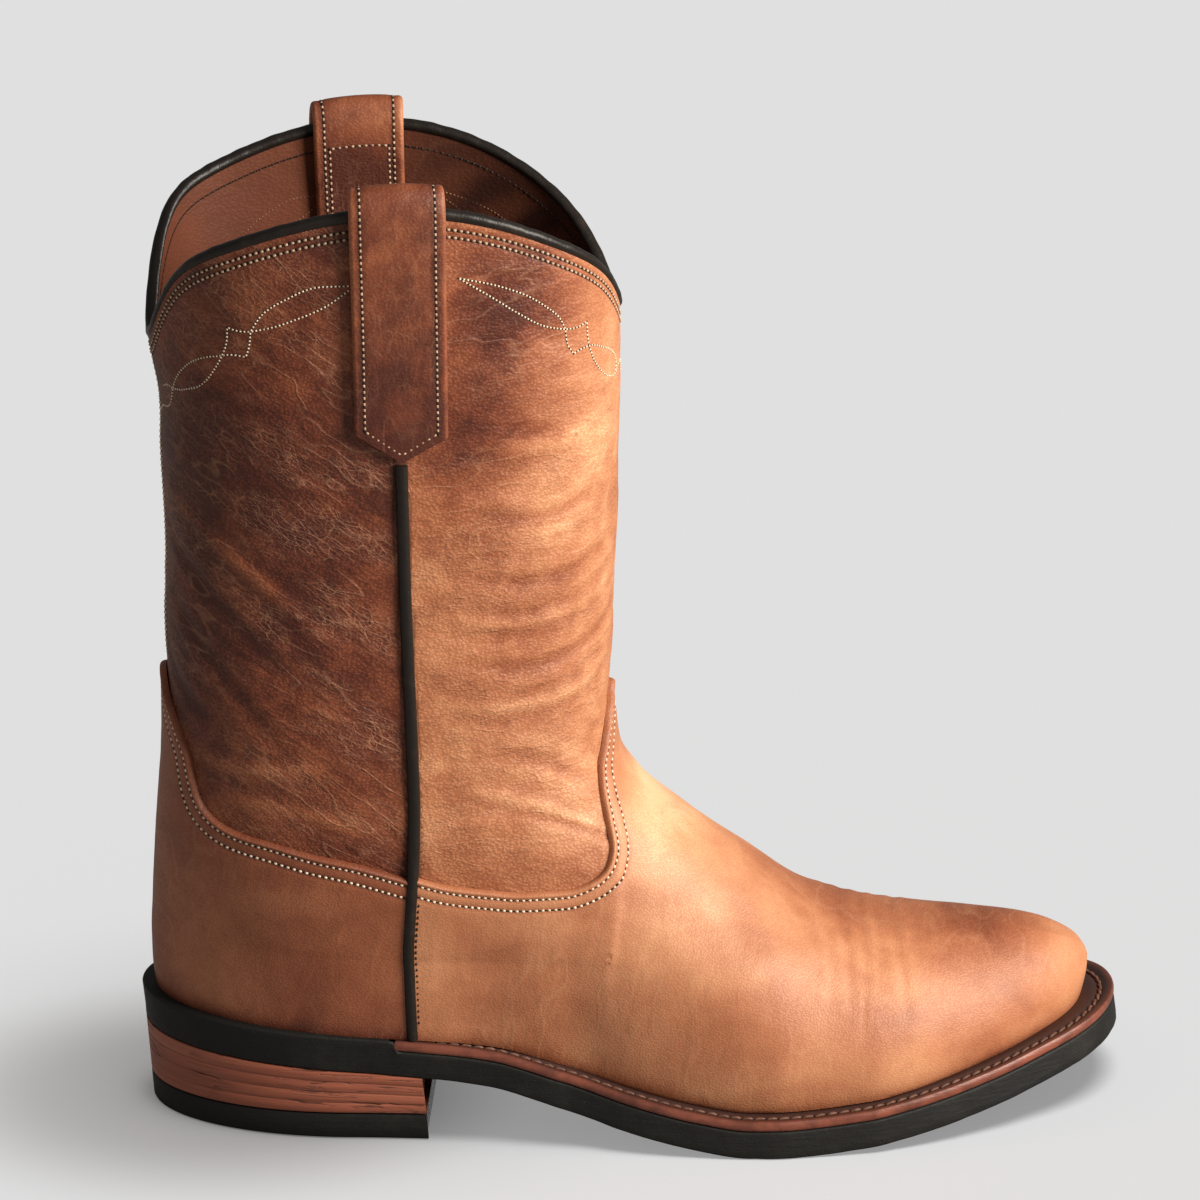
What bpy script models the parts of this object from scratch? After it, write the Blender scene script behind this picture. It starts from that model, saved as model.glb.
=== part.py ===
# Roper boot for the right foot, standing on its sole.
# X points to the toe, Y to the inner (medial) side of the foot and Z up.
# The origin is the middle of the heel's flat resting face.

import math

import bpy
import numpy as np

mm = 0.001

# Sole and heel
SOLE_LENGTH = 301 * mm
BALL_WIDTH = 104 * mm
SOLE_THICK = 8.6 * mm
SOLE_FLARE = 1.0 * mm
EDGE_ROUND = 0.8 * mm
REAR_ROUND = 62 * mm
TOE_ROUND = 60 * mm
TOE_SPRING = 16.8 * mm
HEEL_LENGTH = 87 * mm
HEEL_RISE = 27 * mm
HEEL_TAPER = 1.8 * mm
BREAST_RAKE = 1.9 * mm
BREAST_SKEW = 3.6 * mm
BREAST_HOLLOW = 2.5 * mm
CAP_THICK = 8.6 * mm
WELT_THICK = 3.0 * mm
WELT_LEDGE = 8.6 * mm
WELT_REACH = 12 * mm
WELT_START = 78 * mm
HEEL_LEDGE = 3.4 * mm
INSOLE_THICK = 3.2 * mm
INSOLE_GAP = 1.0 * mm
FIT = 0.3 * mm

# Upper
COLLAR_HEIGHT = 303 * mm
BACK_DIP = 24 * mm
BACK_NOTCH = 24 * mm
FRONT_DIP = 30 * mm
FRONT_NOTCH = 14 * mm
INNER_BACK_RISE = 5.0 * mm
INNER_FRONT_DROP = 2.0 * mm
SHAFT_WIDTH = 89 * mm
SHAFT_TURN = math.radians(7)
WALL = 2.4 * mm
OVERLAY = 1.5 * mm
OVERLAY_GAP = 0.4 * mm
TOE_BULGE = 2.2 * mm
CENTRE_FADE = 60 * mm
SEAM_X = 84 * mm
SEAM_TOP_X = 75 * mm
SEAM_SKEW = 1.8 * mm
SEAM_GAP = 1.8 * mm

# Trim
PIPING_WIDTH = 3.8 * mm
PIPING_HEIGHT = 3.2 * mm
BINDING_WIDTH = 4.4 * mm
BINDING_HEIGHT = 4.2 * mm
STRAP_WIDTH = 28 * mm
STRAP_THICK = 2.6 * mm
STRAP_RISE = 4.8 * mm
STRAP_TIP_DROP = 79 * mm
STRAP_POINT = 9 * mm
STRAP_INSIDE = 52 * mm

REAR_X = -HEEL_LENGTH / 2
TOE_X = REAR_X + SOLE_LENGTH

# Sole outline and side profile. Lengths are shares of SOLE_LENGTH, widths of BALL_WIDTH,
# lifts of HEEL_RISE and TOE_SPRING.
SOLE_COLUMNS = ("along", "centre", "half", "heel_lift", "toe_lift")
SOLE_ROWS = (
    (0.00, 0.000, 0.357, 1.00, 0.00),
    (0.15, 0.000, 0.357, 0.90, 0.00),
    (0.29, -0.005, 0.357, 0.79, 0.00),
    (0.36, -0.017, 0.347, 0.69, 0.00),
    (0.43, -0.032, 0.352, 0.47, 0.00),
    (0.50, -0.028, 0.395, 0.24, 0.00),
    (0.57, -0.003, 0.450, 0.07, 0.00),
    (0.62, 0.020, 0.484, 0.00, 0.00),
    (0.66, 0.040, 0.500, 0.00, 0.00),
    (0.74, 0.075, 0.497, 0.00, 0.09),
    (0.78, 0.095, 0.480, 0.00, 0.18),
    (0.82, 0.114, 0.452, 0.00, 0.29),
    (0.87, 0.135, 0.423, 0.00, 0.46),
    (0.93, 0.163, 0.407, 0.00, 0.70),
    (1.00, 0.180, 0.430, 0.00, 1.00),
)

# Sections of the foot and ankle, from the feather line up. Lengths are shares of SOLE_LENGTH
# from the sole's rear end, rises are shares of the height from the feather line to the collar,
# bulge of TOE_BULGE and half of SHAFT_WIDTH. leg is how far a section follows the shaft's oval.
FOOT_COLUMNS = ("back_x", "back_rise", "front_x", "front_rise", "bulge", "leg", "half")
FOOT_ROWS = (
    (0.0200, 0.000, 0.9590, 0.000, 0.0, 0.00, 0.36),
    (0.0175, 0.026, 0.9600, 0.036, 0.8, 0.00, 0.37),
    (0.0170, 0.052, 0.9500, 0.060, 1.0, 0.00, 0.38),
    (0.0175, 0.076, 0.9230, 0.079, 0.6, 0.00, 0.39),
    (0.0182, 0.092, 0.8830, 0.091, 0.2, 0.00, 0.40),
    (0.0190, 0.107, 0.8280, 0.098, 0.0, 0.05, 0.40),
    (0.0200, 0.127, 0.7480, 0.110, 0.0, 0.15, 0.40),
    (0.0220, 0.164, 0.6740, 0.138, 0.0, 0.35, 0.40),
    (0.0255, 0.216, 0.6160, 0.183, 0.0, 0.60, 0.40),
    (0.0290, 0.266, 0.5610, 0.227, 0.0, 0.80, 0.405),
    (0.0325, 0.320, 0.5115, 0.272, 0.0, 0.95, 0.415),
    (0.0330, 0.379, 0.4838, 0.322, 0.0, 1.00, 0.425),
    (0.0330, 0.440, 0.4772, 0.385, 0.0, 1.00, 0.435),
)

# Shaft from the ankle to the collar. height is the share of that rise.
SHAFT_COLUMNS = ("height", "back_x", "front_x", "half")
SHAFT_ROWS = (
    (0.00, 0.0330, 0.4772, 0.435),
    (0.25, 0.0340, 0.4832, 0.450),
    (0.50, 0.0340, 0.4860, 0.470),
    (0.75, 0.0325, 0.4890, 0.490),
    (1.00, 0.0230, 0.4890, 0.500),
)
OVAL_FULLNESS = 0.22
FOOT_FULLNESS = 2.3
SIDE_BULGE = 0.07

# Side view of the overlays' upper edges, from the side seam on. Lengths are shares of the way from
# SEAM_X to the sole's toe end for the vamp and to its rear end for the counter, heights of COLLAR_HEIGHT.
EDGE_COLUMNS = ("along", "height")
VAMP_EDGE = (
    (0.0152, 0.289),
    (0.0457, 0.282),
    (0.1025, 0.274),
    (0.1580, 0.269),
    (0.2135, 0.269),
    (0.2496, 0.276),
    (0.2704, 0.288),
    (0.2759, 0.304),
    (0.2690, 0.329),
    (0.2593, 0.362),
    (0.2579, 0.378),
    (0.2635, 0.395),
    (0.2690, 0.420),
    (0.2745, 0.450),
    (0.2787, 0.480),
    (0.2815, 0.508),
    (0.2856, 0.524),
    (0.3065, 0.530),
)
COUNTER_EDGE = (
    (0.0325, 0.292),
    (0.1973, 0.307),
    (0.3407, 0.316),
    (0.4876, 0.327),
    (0.6238, 0.336),
    (0.6990, 0.347),
    (0.7456, 0.363),
    (0.7671, 0.385),
    (0.7814, 0.408),
    (0.8137, 0.429),
    (0.8567, 0.456),
    (0.8925, 0.484),
    (1.0717, 0.492),
)

# Sections and turns of the upper's own faces, shared by the overlays so that they stay parallel
SECTIONS = np.concatenate([np.linspace(0, 1, 19), 1 + np.linspace(0, 1, 7)[1:]])
COLLAR_STEPS = 64
TURNS = np.arange(COLLAR_STEPS) / COLLAR_STEPS


def column(names, rows, name):
    return np.array([row[names.index(name)] for row in rows])


def smooth(knots, values, x):
    """A cubic through the knots that doesn't overshoot them."""
    step = np.diff(knots)
    slope = np.diff(values) / step
    tangent = np.zeros(len(knots))
    tangent[0], tangent[-1] = slope[0], slope[-1]
    rising = slope[:-1] * slope[1:] > 0
    weight = step[1:] + 2 * step[:-1], step[:-1] + 2 * step[1:]
    with np.errstate(divide="ignore", invalid="ignore"):
        mean = (weight[0] + weight[1]) / (weight[0] / slope[:-1] + weight[1] / slope[1:])
    tangent[1:-1] = np.where(rising, mean, 0)
    x = np.clip(x, knots[0], knots[-1])
    i = np.clip(np.searchsorted(knots, x) - 1, 0, len(step) - 1)
    t = (x - knots[i]) / step[i]
    return (
        values[i] * (1 + 2 * t) * (1 - t) ** 2
        + values[i + 1] * t**2 * (3 - 2 * t)
        + tangent[i] * step[i] * t * (1 - t) ** 2
        + tangent[i + 1] * step[i] * t**2 * (t - 1)
    )


def ease(start, end, x):
    t = np.clip((x - start) / (end - start), 0, 1)
    return t * t * (3 - 2 * t)


def sole_value(name, x):
    along = column(SOLE_COLUMNS, SOLE_ROWS, "along")
    return smooth(along, column(SOLE_COLUMNS, SOLE_ROWS, name), (x - REAR_X) / SOLE_LENGTH)


def sole_bottom(x):
    return HEEL_RISE * sole_value("heel_lift", x) + TOE_SPRING * sole_value("toe_lift", x)


def heel_share(x):
    """1 over the heel seat and 0 from the waist forward."""
    return 1 - ease(REAR_X + 0.75 * HEEL_LENGTH, REAR_X + 1.7 * HEEL_LENGTH, x)


def bed(x):
    """Height of the feather line, where the upper meets the welt and the heel seat."""
    return sole_bottom(x) + SOLE_THICK + WELT_THICK + 2.6 * FIT


def end_round(x, rear, toe):
    near_rear = np.clip(1 - (x - rear) / REAR_ROUND, 0, 1)
    near_toe = np.clip(1 - (toe - x) / TOE_ROUND, 0, 1)
    return np.sqrt((1 - near_rear**2) * (1 - near_toe**2))


def outline(angle, heel_inset, toe_inset, side):
    """A point of the sole's outline moved in by the insets. angle runs from 0 at the rear to pi at the toe."""
    rear = REAR_X + heel_inset
    toe = TOE_X - toe_inset
    x = rear + (toe - rear) * (1 - np.cos(angle)) / 2
    share = heel_share(x)
    inset = heel_inset * share + toe_inset * (1 - share)
    half = (BALL_WIDTH * sole_value("half", x) - inset) * end_round(x, rear, toe)
    return x, BALL_WIDTH * sole_value("centre", x) + side * half


def angle_at(x, heel_inset, toe_inset):
    rear = REAR_X + heel_inset
    toe = TOE_X - toe_inset
    return np.arccos(1 - 2 * (x - rear) / (toe - rear))


def section_value(name, v):
    """A column of the foot's and the shaft's tables at section v."""
    foot = np.linspace(0, 1, len(FOOT_ROWS))
    low = smooth(foot, column(FOOT_COLUMNS, FOOT_ROWS, name), v)
    if name not in SHAFT_COLUMNS:
        return low
    height = column(SHAFT_COLUMNS, SHAFT_ROWS, "height")
    high = smooth(height, column(SHAFT_COLUMNS, SHAFT_ROWS, name), v - 1)
    return np.where(v < 1, low, high)


def back_point(v):
    x = REAR_X + SOLE_LENGTH * section_value("back_x", v)
    low = bed(REAR_X + SOLE_LENGTH * FOOT_ROWS[0][0])
    return x, low + (COLLAR_HEIGHT - low) * section_value("back_rise", v)


def front_point(v):
    x = REAR_X + SOLE_LENGTH * section_value("front_x", v)
    low = bed(REAR_X + SOLE_LENGTH * FOOT_ROWS[0][2])
    return x, low + (COLLAR_HEIGHT - low) * section_value("front_rise", v)


RIDGE_X, RIDGE_Z = front_point(np.linspace(1, 0, 241))


def ridge(x):
    """Height of the instep and toe ridge, carried on upwards behind the ankle."""
    behind = np.clip(RIDGE_X[0] - x, 0, None)
    return np.interp(x, RIDGE_X, RIDGE_Z) + 2.5 * behind


def collar(angle):
    """Height of the scalloped collar's edge, under the binding."""
    c = np.cos(angle)
    dip = np.where(c > 0, BACK_DIP, FRONT_DIP)
    notch = np.where(c > 0, BACK_NOTCH, FRONT_NOTCH)
    # The inner side stands higher towards the back and lower towards the front. 4.2 makes its peak 1.
    inner = 4.2 * np.clip(-np.sin(angle), 0, None) * c**6 * np.where(c > 0, INNER_BACK_RISE, -INNER_FRONT_DROP)
    return COLLAR_HEIGHT - BINDING_HEIGHT - dip * c**2 - notch * np.abs(c) ** 16 + inner


def upper_base(u, v):
    """The upper's outer face. u runs round from the back (0) by the outer side to the front (0.5)
    and back by the inner side, v up from the feather line (0) by the ankle (1) to the collar (2)."""
    u, v = np.broadcast_arrays(np.asarray(u, float), np.asarray(v, float))
    angle = 2 * math.pi * u
    side = np.where(np.sin(angle) >= 0, -1.0, 1.0)
    s = (1 - np.cos(angle)) / 2
    back_x, back_z = back_point(v)
    front_x, front_z = front_point(v)
    rear = REAR_X + SOLE_LENGTH * FOOT_ROWS[0][0]
    toe = REAR_X + SOLE_LENGTH * FOOT_ROWS[0][2]
    x = rear + (front_x - rear) * s
    z = back_z + (front_z - back_z) * s
    # The feather line itself lies on the bed, and the sections above it straighten.
    settle = np.clip(1 - v * (len(FOOT_ROWS) - 1) / 4, 0, 1)
    z = z + settle * (bed(x) - (bed(rear) + (bed(toe) - bed(rear)) * s))
    up = np.clip(v - 1, 0, 1)
    z = z + up * (collar(angle) - z)
    share = heel_share(x)
    inset = HEEL_LEDGE * share + WELT_LEDGE * (1 - share)
    half = (BALL_WIDTH * sole_value("half", x) - inset) * end_round(x, rear, toe)
    q = np.clip((z - bed(x)) / np.maximum(ridge(x) - bed(x), 1 * mm), 0, 1)
    bulge = 1 + SIDE_BULGE * np.sin(math.pi * q**0.7)
    foot = half * bulge * np.sqrt(np.clip(1 - q**FOOT_FULLNESS, 0, 1))
    oval = np.abs(np.sin(angle)) * (1 + OVAL_FULLNESS * np.cos(angle) ** 2)
    leg = section_value("leg", np.minimum(v, 1))
    width = (1 - leg) * foot + leg * SHAFT_WIDTH * section_value("half", v) * oval
    centre = (1 - leg) * BALL_WIDTH * sole_value("centre", x) * (1 - 0.3 * ease(0, CENTRE_FADE, z - bed(x)))
    ends = (s < 1e-9) | (s > 1 - 1e-9)
    y = side * np.where(ends, 0, width)
    x = x + TOE_BULGE * section_value("bulge", np.minimum(v, 1)) * s**8
    x = x + (back_x - rear) * (1 - s) ** 3
    middle = (back_x + front_x) / 2
    turn = SHAFT_TURN * leg
    turned_x = middle + (x - middle) * np.cos(turn) - y * np.sin(turn)
    turned_y = (x - middle) * np.sin(turn) + y * np.cos(turn)
    return np.stack([turned_x, turned_y + centre, z], -1)


def upper(u, v, out=0.0):
    """The upper's face moved out along its own normal."""
    point = upper_base(u, v)
    du, dv = 1e-3, 2e-3
    u, v = np.broadcast_arrays(np.asarray(u, float), np.asarray(v, float))
    along = upper_base(u + du, v) - upper_base(u - du, v)
    low, high = np.clip(v - dv, 0, 2), np.clip(v + dv, 0, 2)
    up = upper_base(u, high) - upper_base(u, low)
    normal = np.cross(along, up)
    normal /= np.linalg.norm(normal, axis=-1, keepdims=True)
    moved = point + normal * np.asarray(out)[..., None]
    lowest = bed(moved[..., 0])
    moved[..., 2] = np.where(v < 0.2, np.maximum(moved[..., 2], lowest), moved[..., 2])
    return moved


def seam_u(v, side, shift=0.0):
    """Where a side seam crosses section v. side is -1 on the outer side and 1 on the inner one."""
    front_x, _ = front_point(v)
    rear = REAR_X + SOLE_LENGTH * FOOT_ROWS[0][0]
    seam = REAR_X + SEAM_X + (SEAM_TOP_X - SEAM_X) * ease(0, 2, v) - side * SEAM_SKEW * ease(1, 2, v)
    s = (seam + shift - rear) / (front_x - rear)
    angle = np.arccos(1 - 2 * np.clip(s, 0, 1))
    return angle / (2 * math.pi) if side < 0 else 1 - angle / (2 * math.pi)


def material(name, colour, roughness):
    made = bpy.data.materials.new(name)
    made.use_nodes = True
    shader = made.node_tree.nodes["Principled BSDF"]
    shader.inputs["Base Color"].default_value = (*colour, 1)
    shader.inputs["Roughness"].default_value = roughness
    shader.inputs["Metallic"].default_value = 0
    return made


def add(name, points, faces, finish):
    mesh = bpy.data.meshes.new(name)
    mesh.from_pydata([tuple(p) for p in np.asarray(points).reshape(-1, 3)], [], faces)
    mesh.validate()
    mesh.materials.append(finish)
    mesh.shade_smooth()
    mesh.set_sharp_from_angle(angle=math.radians(40))
    made = bpy.data.objects.new(name, mesh)
    bpy.context.scene.collection.objects.link(made)
    return made


def grid_faces(rows, columns, first=0, closed=False, flip=False):
    """Quads of a grid of points stored row by row."""
    faces = []
    for i in range(rows - 1):
        for j in range(columns if closed else columns - 1):
            a = first + i * columns + j
            b = first + i * columns + (j + 1) % columns
            quad = (a, b, b + columns, a + columns)
            faces.append(quad[::-1] if flip else quad)
    return faces


def halved(quads, columns, closed):
    """Each quad of grid_faces as two triangles. In the second half of a closed grid, where the
    sections lean the other way, they share the other diagonal."""
    halves = []
    steps = columns if closed else columns - 1
    for k, (a, b, c, d) in enumerate(quads):
        if closed and k % steps >= steps // 2:
            halves += [(a, b, d), (b, c, d)]
        else:
            halves += [(a, b, c), (a, c, d)]
    return halves


def loop_rings(angles, rings):
    """Points of closed loops: the outer side from rear to toe, then the inner side back."""
    points = []
    for heel_inset, toe_inset, height in rings:
        for side, run in ((-1, angles), (1, angles[-2:0:-1])):
            x, y = outline(run, heel_inset, toe_inset, side)
            points.append(np.stack([x, y, height(x)], -1))
    return np.concatenate(points)


def cap_faces(count, first, flip):
    """Strips across a loop of loop_rings, each joining the two sides."""
    half = count // 2
    faces = [(first, first + 1, first + count - 1)]
    for i in range(1, half - 1):
        faces.append((first + i, first + i + 1, first + count - i - 1, first + count - i))
    faces.append((first + half - 1, first + half, first + half + 1))
    return [f[::-1] for f in faces] if flip else faces


def plate(name, angles, rings, finish):
    """A solid between a stack of loops, closed top and bottom."""
    count = 2 * len(angles) - 2
    points = loop_rings(angles, rings)
    faces = grid_faces(len(rings), count, closed=True)
    faces += cap_faces(count, 0, True)
    faces += cap_faces(count, (len(rings) - 1) * count, False)
    return add(name, points, faces, finish)


def shell(name, inner, outer, finish, closed=False):
    """A wall between two grids of points with the same shape; the edges are joined."""
    rows, columns = inner.shape[:2]
    size = rows * columns
    faces = [f[::-1] for f in halved(grid_faces(rows, columns, 0, closed), columns, closed)]
    faces += halved(grid_faces(rows, columns, size, closed), columns, closed)
    edge = [(0, j) for j in range(columns)]
    top = [(rows - 1, j) for j in range(columns)]
    loops = [edge + edge[:1], (top + top[:1])[::-1]]
    if not closed:
        left = [(i, 0) for i in range(rows - 2, -1, -1)]
        right = [(i, columns - 1) for i in range(1, rows)]
        loops = [edge + right + top[-2::-1] + left]
    for loop in loops:
        for a, b in zip(loop, loop[1:]):
            a, b = a[0] * columns + a[1], b[0] * columns + b[1]
            faces.append((a, b, b + size, a + size))
    return add(name, np.concatenate([inner.reshape(-1, 3), outer.reshape(-1, 3)]), faces, finish)


def sole_angles(start):
    """Stations of the sole from rear to toe, with two at the step where the welt begins."""
    step = REAR_X + WELT_START
    step_angles = angle_at(np.array([step, step + FIT, step + 2 * FIT]), 0, 0)
    angles = np.linspace(0, math.pi, 43)
    angles = angles[np.abs(angles - step_angles[1]) > 0.03]
    angles = np.sort(np.concatenate([angles, step_angles[: 2 if start == 0 else 3]]))
    return angles[angles >= start - 1e-9]


def make_outsole(rubber):
    step = REAR_X + WELT_START
    angles = sole_angles(0)

    def top(x):
        return sole_bottom(x) + SOLE_THICK + np.where(x < step + FIT / 2, WELT_THICK + FIT, 0)

    r = EDGE_ROUND
    rings = (
        (HEEL_TAPER / 2 + r, r - SOLE_FLARE, sole_bottom),
        (HEEL_TAPER / 2, -SOLE_FLARE, lambda x: sole_bottom(x) + r),
        (0, 0, lambda x: top(x) - r),
        (r, r, top),
    )
    return plate("outsole", angles, rings, rubber)


def make_welt(leather):
    rows = []
    angles = sole_angles(angle_at(REAR_X + WELT_START + 2 * FIT, 0, 0))
    top_inset = WELT_LEDGE + WELT_REACH
    for inset, height in ((0.4 * mm, FIT), (0.0, 0.5 * WELT_THICK), (0.4 * mm, FIT + WELT_THICK),
                          (top_inset, FIT + WELT_THICK), (top_inset, FIT)):
        line = []
        for side, run in ((-1, angles), (1, angles[-2::-1])):
            x, y = outline(run, 0, 0, side)
            inner_x, inner_y = outline(run, HEEL_LEDGE + WELT_REACH, top_inset, side)
            t = inset / top_inset
            x, y = x + (inner_x - x) * t, y + (inner_y - y) * t
            line.append(np.stack([x, y, sole_bottom(x) + SOLE_THICK + height], -1))
        rows.append(np.concatenate(line))
    rows.append(rows[0])
    points = np.stack(rows[:-1], 1)
    columns, sides = points.shape[:2]
    faces = grid_faces(columns, sides, closed=True, flip=True)
    faces.append(tuple(range(sides)))
    faces.append(tuple(range(columns * sides - 1, (columns - 1) * sides - 1, -1)))
    return add("welt", points, faces, leather)


def make_insole(board):
    """The board fills the upper's inside at the feather line."""
    u = np.concatenate([np.linspace(0, 0.5, 33), np.linspace(0.5, 1, 33)[1:-1]])
    line = upper(u, np.zeros_like(u), np.full_like(u, -WALL - INSOLE_GAP))
    low, high = line.copy(), line.copy()
    low[:, 2] = bed(line[:, 0]) + FIT
    high[:, 2] = low[:, 2] + INSOLE_THICK
    faces = grid_faces(2, len(u), closed=True)
    faces += cap_faces(len(u), 0, True) + cap_faces(len(u), len(u), False)
    return add("insole", np.concatenate([low, high]), faces, board)


def heel_block(name, low, high, low_share, high_share, finish):
    """A heel piece: the sole's rear outline closed by a raked, skewed and hollowed breast.
    The shares are its lower and upper height as parts of HEEL_RISE."""
    turn = np.linspace(0, 1, 13)
    count_side = len(turn)
    across = np.linspace(-1, 1, 9)[1:-1]
    rings = []
    for height, share in ((low, low_share), (high, high_share)):
        taper = HEEL_TAPER * (1.5 - share)
        breast = REAR_X + HEEL_LENGTH + BREAST_RAKE * share
        ends = breast - BREAST_SKEW * share, breast + BREAST_SKEW * share
        x, y = outline(angle_at(ends[0], taper, 0) * turn, taper, 0, -1)
        inner_x, inner_y = outline(angle_at(ends[1], taper, 0) * turn, taper, 0, 1)
        front_y = y[-1] + (inner_y[-1] - y[-1]) * (across + 1) / 2
        front_x = breast + BREAST_SKEW * share * across - BREAST_HOLLOW * (1 - across**2)
        ring_x = np.concatenate([x, front_x, inner_x[:0:-1]])
        ring_y = np.concatenate([y, front_y, inner_y[:0:-1]])
        rings.append(np.stack([ring_x, ring_y, height(ring_x)], -1))
    count = len(rings[0])
    points = np.concatenate(rings)
    faces = grid_faces(2, count, closed=True)
    for first, flip in ((0, True), (count, False)):
        strip = [(first, first + 1, first + count - 1)]
        for i in range(1, count_side - 1):
            strip.append((first + i, first + i + 1, first + count - i - 1, first + count - i))
        front = [first + i for i in range(count_side - 1, count_side + len(across) + 1)]
        strip.append(tuple(front))
        faces += [f[::-1] for f in strip] if flip else strip
    return add(name, points, faces, finish)


def make_heel(rubber, stacked):
    heel_block("heel_cap", lambda x: 0 * x, lambda x: 0 * x + CAP_THICK,
               0, CAP_THICK / HEEL_RISE, rubber)
    heel_block("heel_stack", lambda x: 0 * x + CAP_THICK + FIT, lambda x: sole_bottom(x) - FIT,
               CAP_THICK / HEEL_RISE, 1, stacked)


def offset(points, out):
    """A closed grid of points moved out along the grid's own normals."""
    along = np.roll(points, -1, 1) - np.roll(points, 1, 1)
    up = np.gradient(points, axis=0)
    normal = np.cross(along, up)
    normal /= np.linalg.norm(normal, axis=-1, keepdims=True)
    moved = points + normal * out
    low = slice(0, 3)
    moved[low, :, 2] = np.maximum(moved[low, :, 2], bed(moved[low, :, 0]))
    moved[0, :, 2] = bed(moved[0, :, 0])
    return moved


def make_upper(leather):
    outer = upper_base(*np.meshgrid(TURNS, SECTIONS))
    return shell("upper", offset(outer, -WALL), outer, leather, closed=True)


def edge_x(share, forward):
    """Place of an overlay edge's point, as a share of the way from the side seam to the sole's end."""
    return REAR_X + SEAM_X + share * (SOLE_LENGTH - SEAM_X if forward > 0 else -SEAM_X)


def make_overlay(name, edge, forward, leather):
    """A panel between two larger forms of the upper, cut to its side view."""
    points = upper_base(*np.meshgrid(TURNS, SECTIONS))
    panel = shell(name, offset(points, OVERLAY_GAP), offset(points, OVERLAY_GAP + OVERLAY), leather, closed=True)
    end = edge_x(1.15, forward)
    corners = []
    for side in (-1, 1):
        seam = []
        for height in np.linspace(bed(REAR_X + SEAM_X) + 3 * FIT, edge[0][1] * COLLAR_HEIGHT, 5):
            both = [upper_base(seam_u(seam_v(s, height), s), seam_v(s, height)) for s in (-1, 1)]
            slope = (both[1][0] - both[0][0]) / (both[1][1] - both[0][1])
            x = both[0][0] + slope * (side * BALL_WIDTH - both[0][1])
            seam.append((x + forward * (PIPING_WIDTH / 2 + SEAM_GAP), height))
        profile = [(seam[0][0], -0.1), *seam]
        profile += [(edge_x(a, forward), h * COLLAR_HEIGHT) for a, h in edge[1:]]
        profile += [(end, edge[-1][1] * COLLAR_HEIGHT), (end, -0.1)]
        corners += [(x, side * BALL_WIDTH, z) for x, z in profile]
    count = len(profile)
    faces = [(i, (i + 1) % count, count + (i + 1) % count, count + i) for i in range(count)]
    faces += [tuple(range(count))[::-1], tuple(range(count, 2 * count))]
    if forward < 0:
        faces = [f[::-1] for f in faces]
    cutter = add(f"{name}_cutter", corners, faces, leather)
    cutter.hide_render = True
    cutter.display_type = "WIRE"
    cut = panel.modifiers.new("cut", "BOOLEAN")
    cut.operation = "INTERSECT"
    cut.solver = "EXACT"
    cut.object = cutter
    return panel


def make_piping(name, side, leather):
    top = seam_v(side, COLLAR_HEIGHT - STRAP_TIP_DROP - 1.5 * mm)
    v = np.linspace(0.015, top, 30)
    half = PIPING_WIDTH / 2
    arc = np.linspace(0, math.pi, 6)
    points = []
    for t in arc:
        out = FIT + (PIPING_HEIGHT - FIT) * np.sin(t) ** 0.8
        points.append(upper(seam_u(v, side, half * math.cos(t)), v, np.full_like(v, out)))
    points = np.stack(points, 1)
    rows, sides = points.shape[:2]
    faces = grid_faces(rows, sides, closed=True, flip=side < 0)
    ends = [tuple(range(sides)), tuple(range(rows * sides - 1, (rows - 1) * sides - 1, -1))]
    faces += [f if side < 0 else f[::-1] for f in ends]
    return add(name, points, faces, leather)


def seam_v(side, height):
    """The section number at which the side seam reaches a height."""
    v = np.linspace(0, 2, 401)
    z = upper_base(seam_u(v, side), v)[:, 2]
    return float(np.interp(height, z, v))


def make_binding(leather):
    u = TURNS
    rim = (upper(u, np.full_like(u, 2.0), np.zeros_like(u))
           + upper(u, np.full_like(u, 2.0), np.full_like(u, -WALL))) / 2
    outward = upper(u, np.full_like(u, 2.0), np.full_like(u, 1.0)) - upper(u, np.full_like(u, 2.0), np.zeros_like(u))
    outward[:, 2] = 0
    outward /= np.linalg.norm(outward, axis=-1, keepdims=True)
    profile = ((-0.5, 0.0), (-0.5, 0.55), (-0.28, 0.9), (0.0, 1.0), (0.28, 0.9), (0.5, 0.55), (0.5, 0.0))
    points = []
    for across, up in profile:
        p = rim + outward * across * BINDING_WIDTH
        p[:, 2] = rim[:, 2] + 1.6 * FIT + up * (BINDING_HEIGHT - 1.6 * FIT)
        points.append(p)
    points = np.stack(points, 0)
    faces = []
    count = len(profile)
    for i in range(count):
        for j in range(len(u)):
            a, b = i * len(u) + j, i * len(u) + (j + 1) % len(u)
            c, d = ((i + 1) % count) * len(u) + (j + 1) % len(u), ((i + 1) % count) * len(u) + j
            faces.append((a, d, c, b))
    return add("collar_binding", points, faces, leather)


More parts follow.
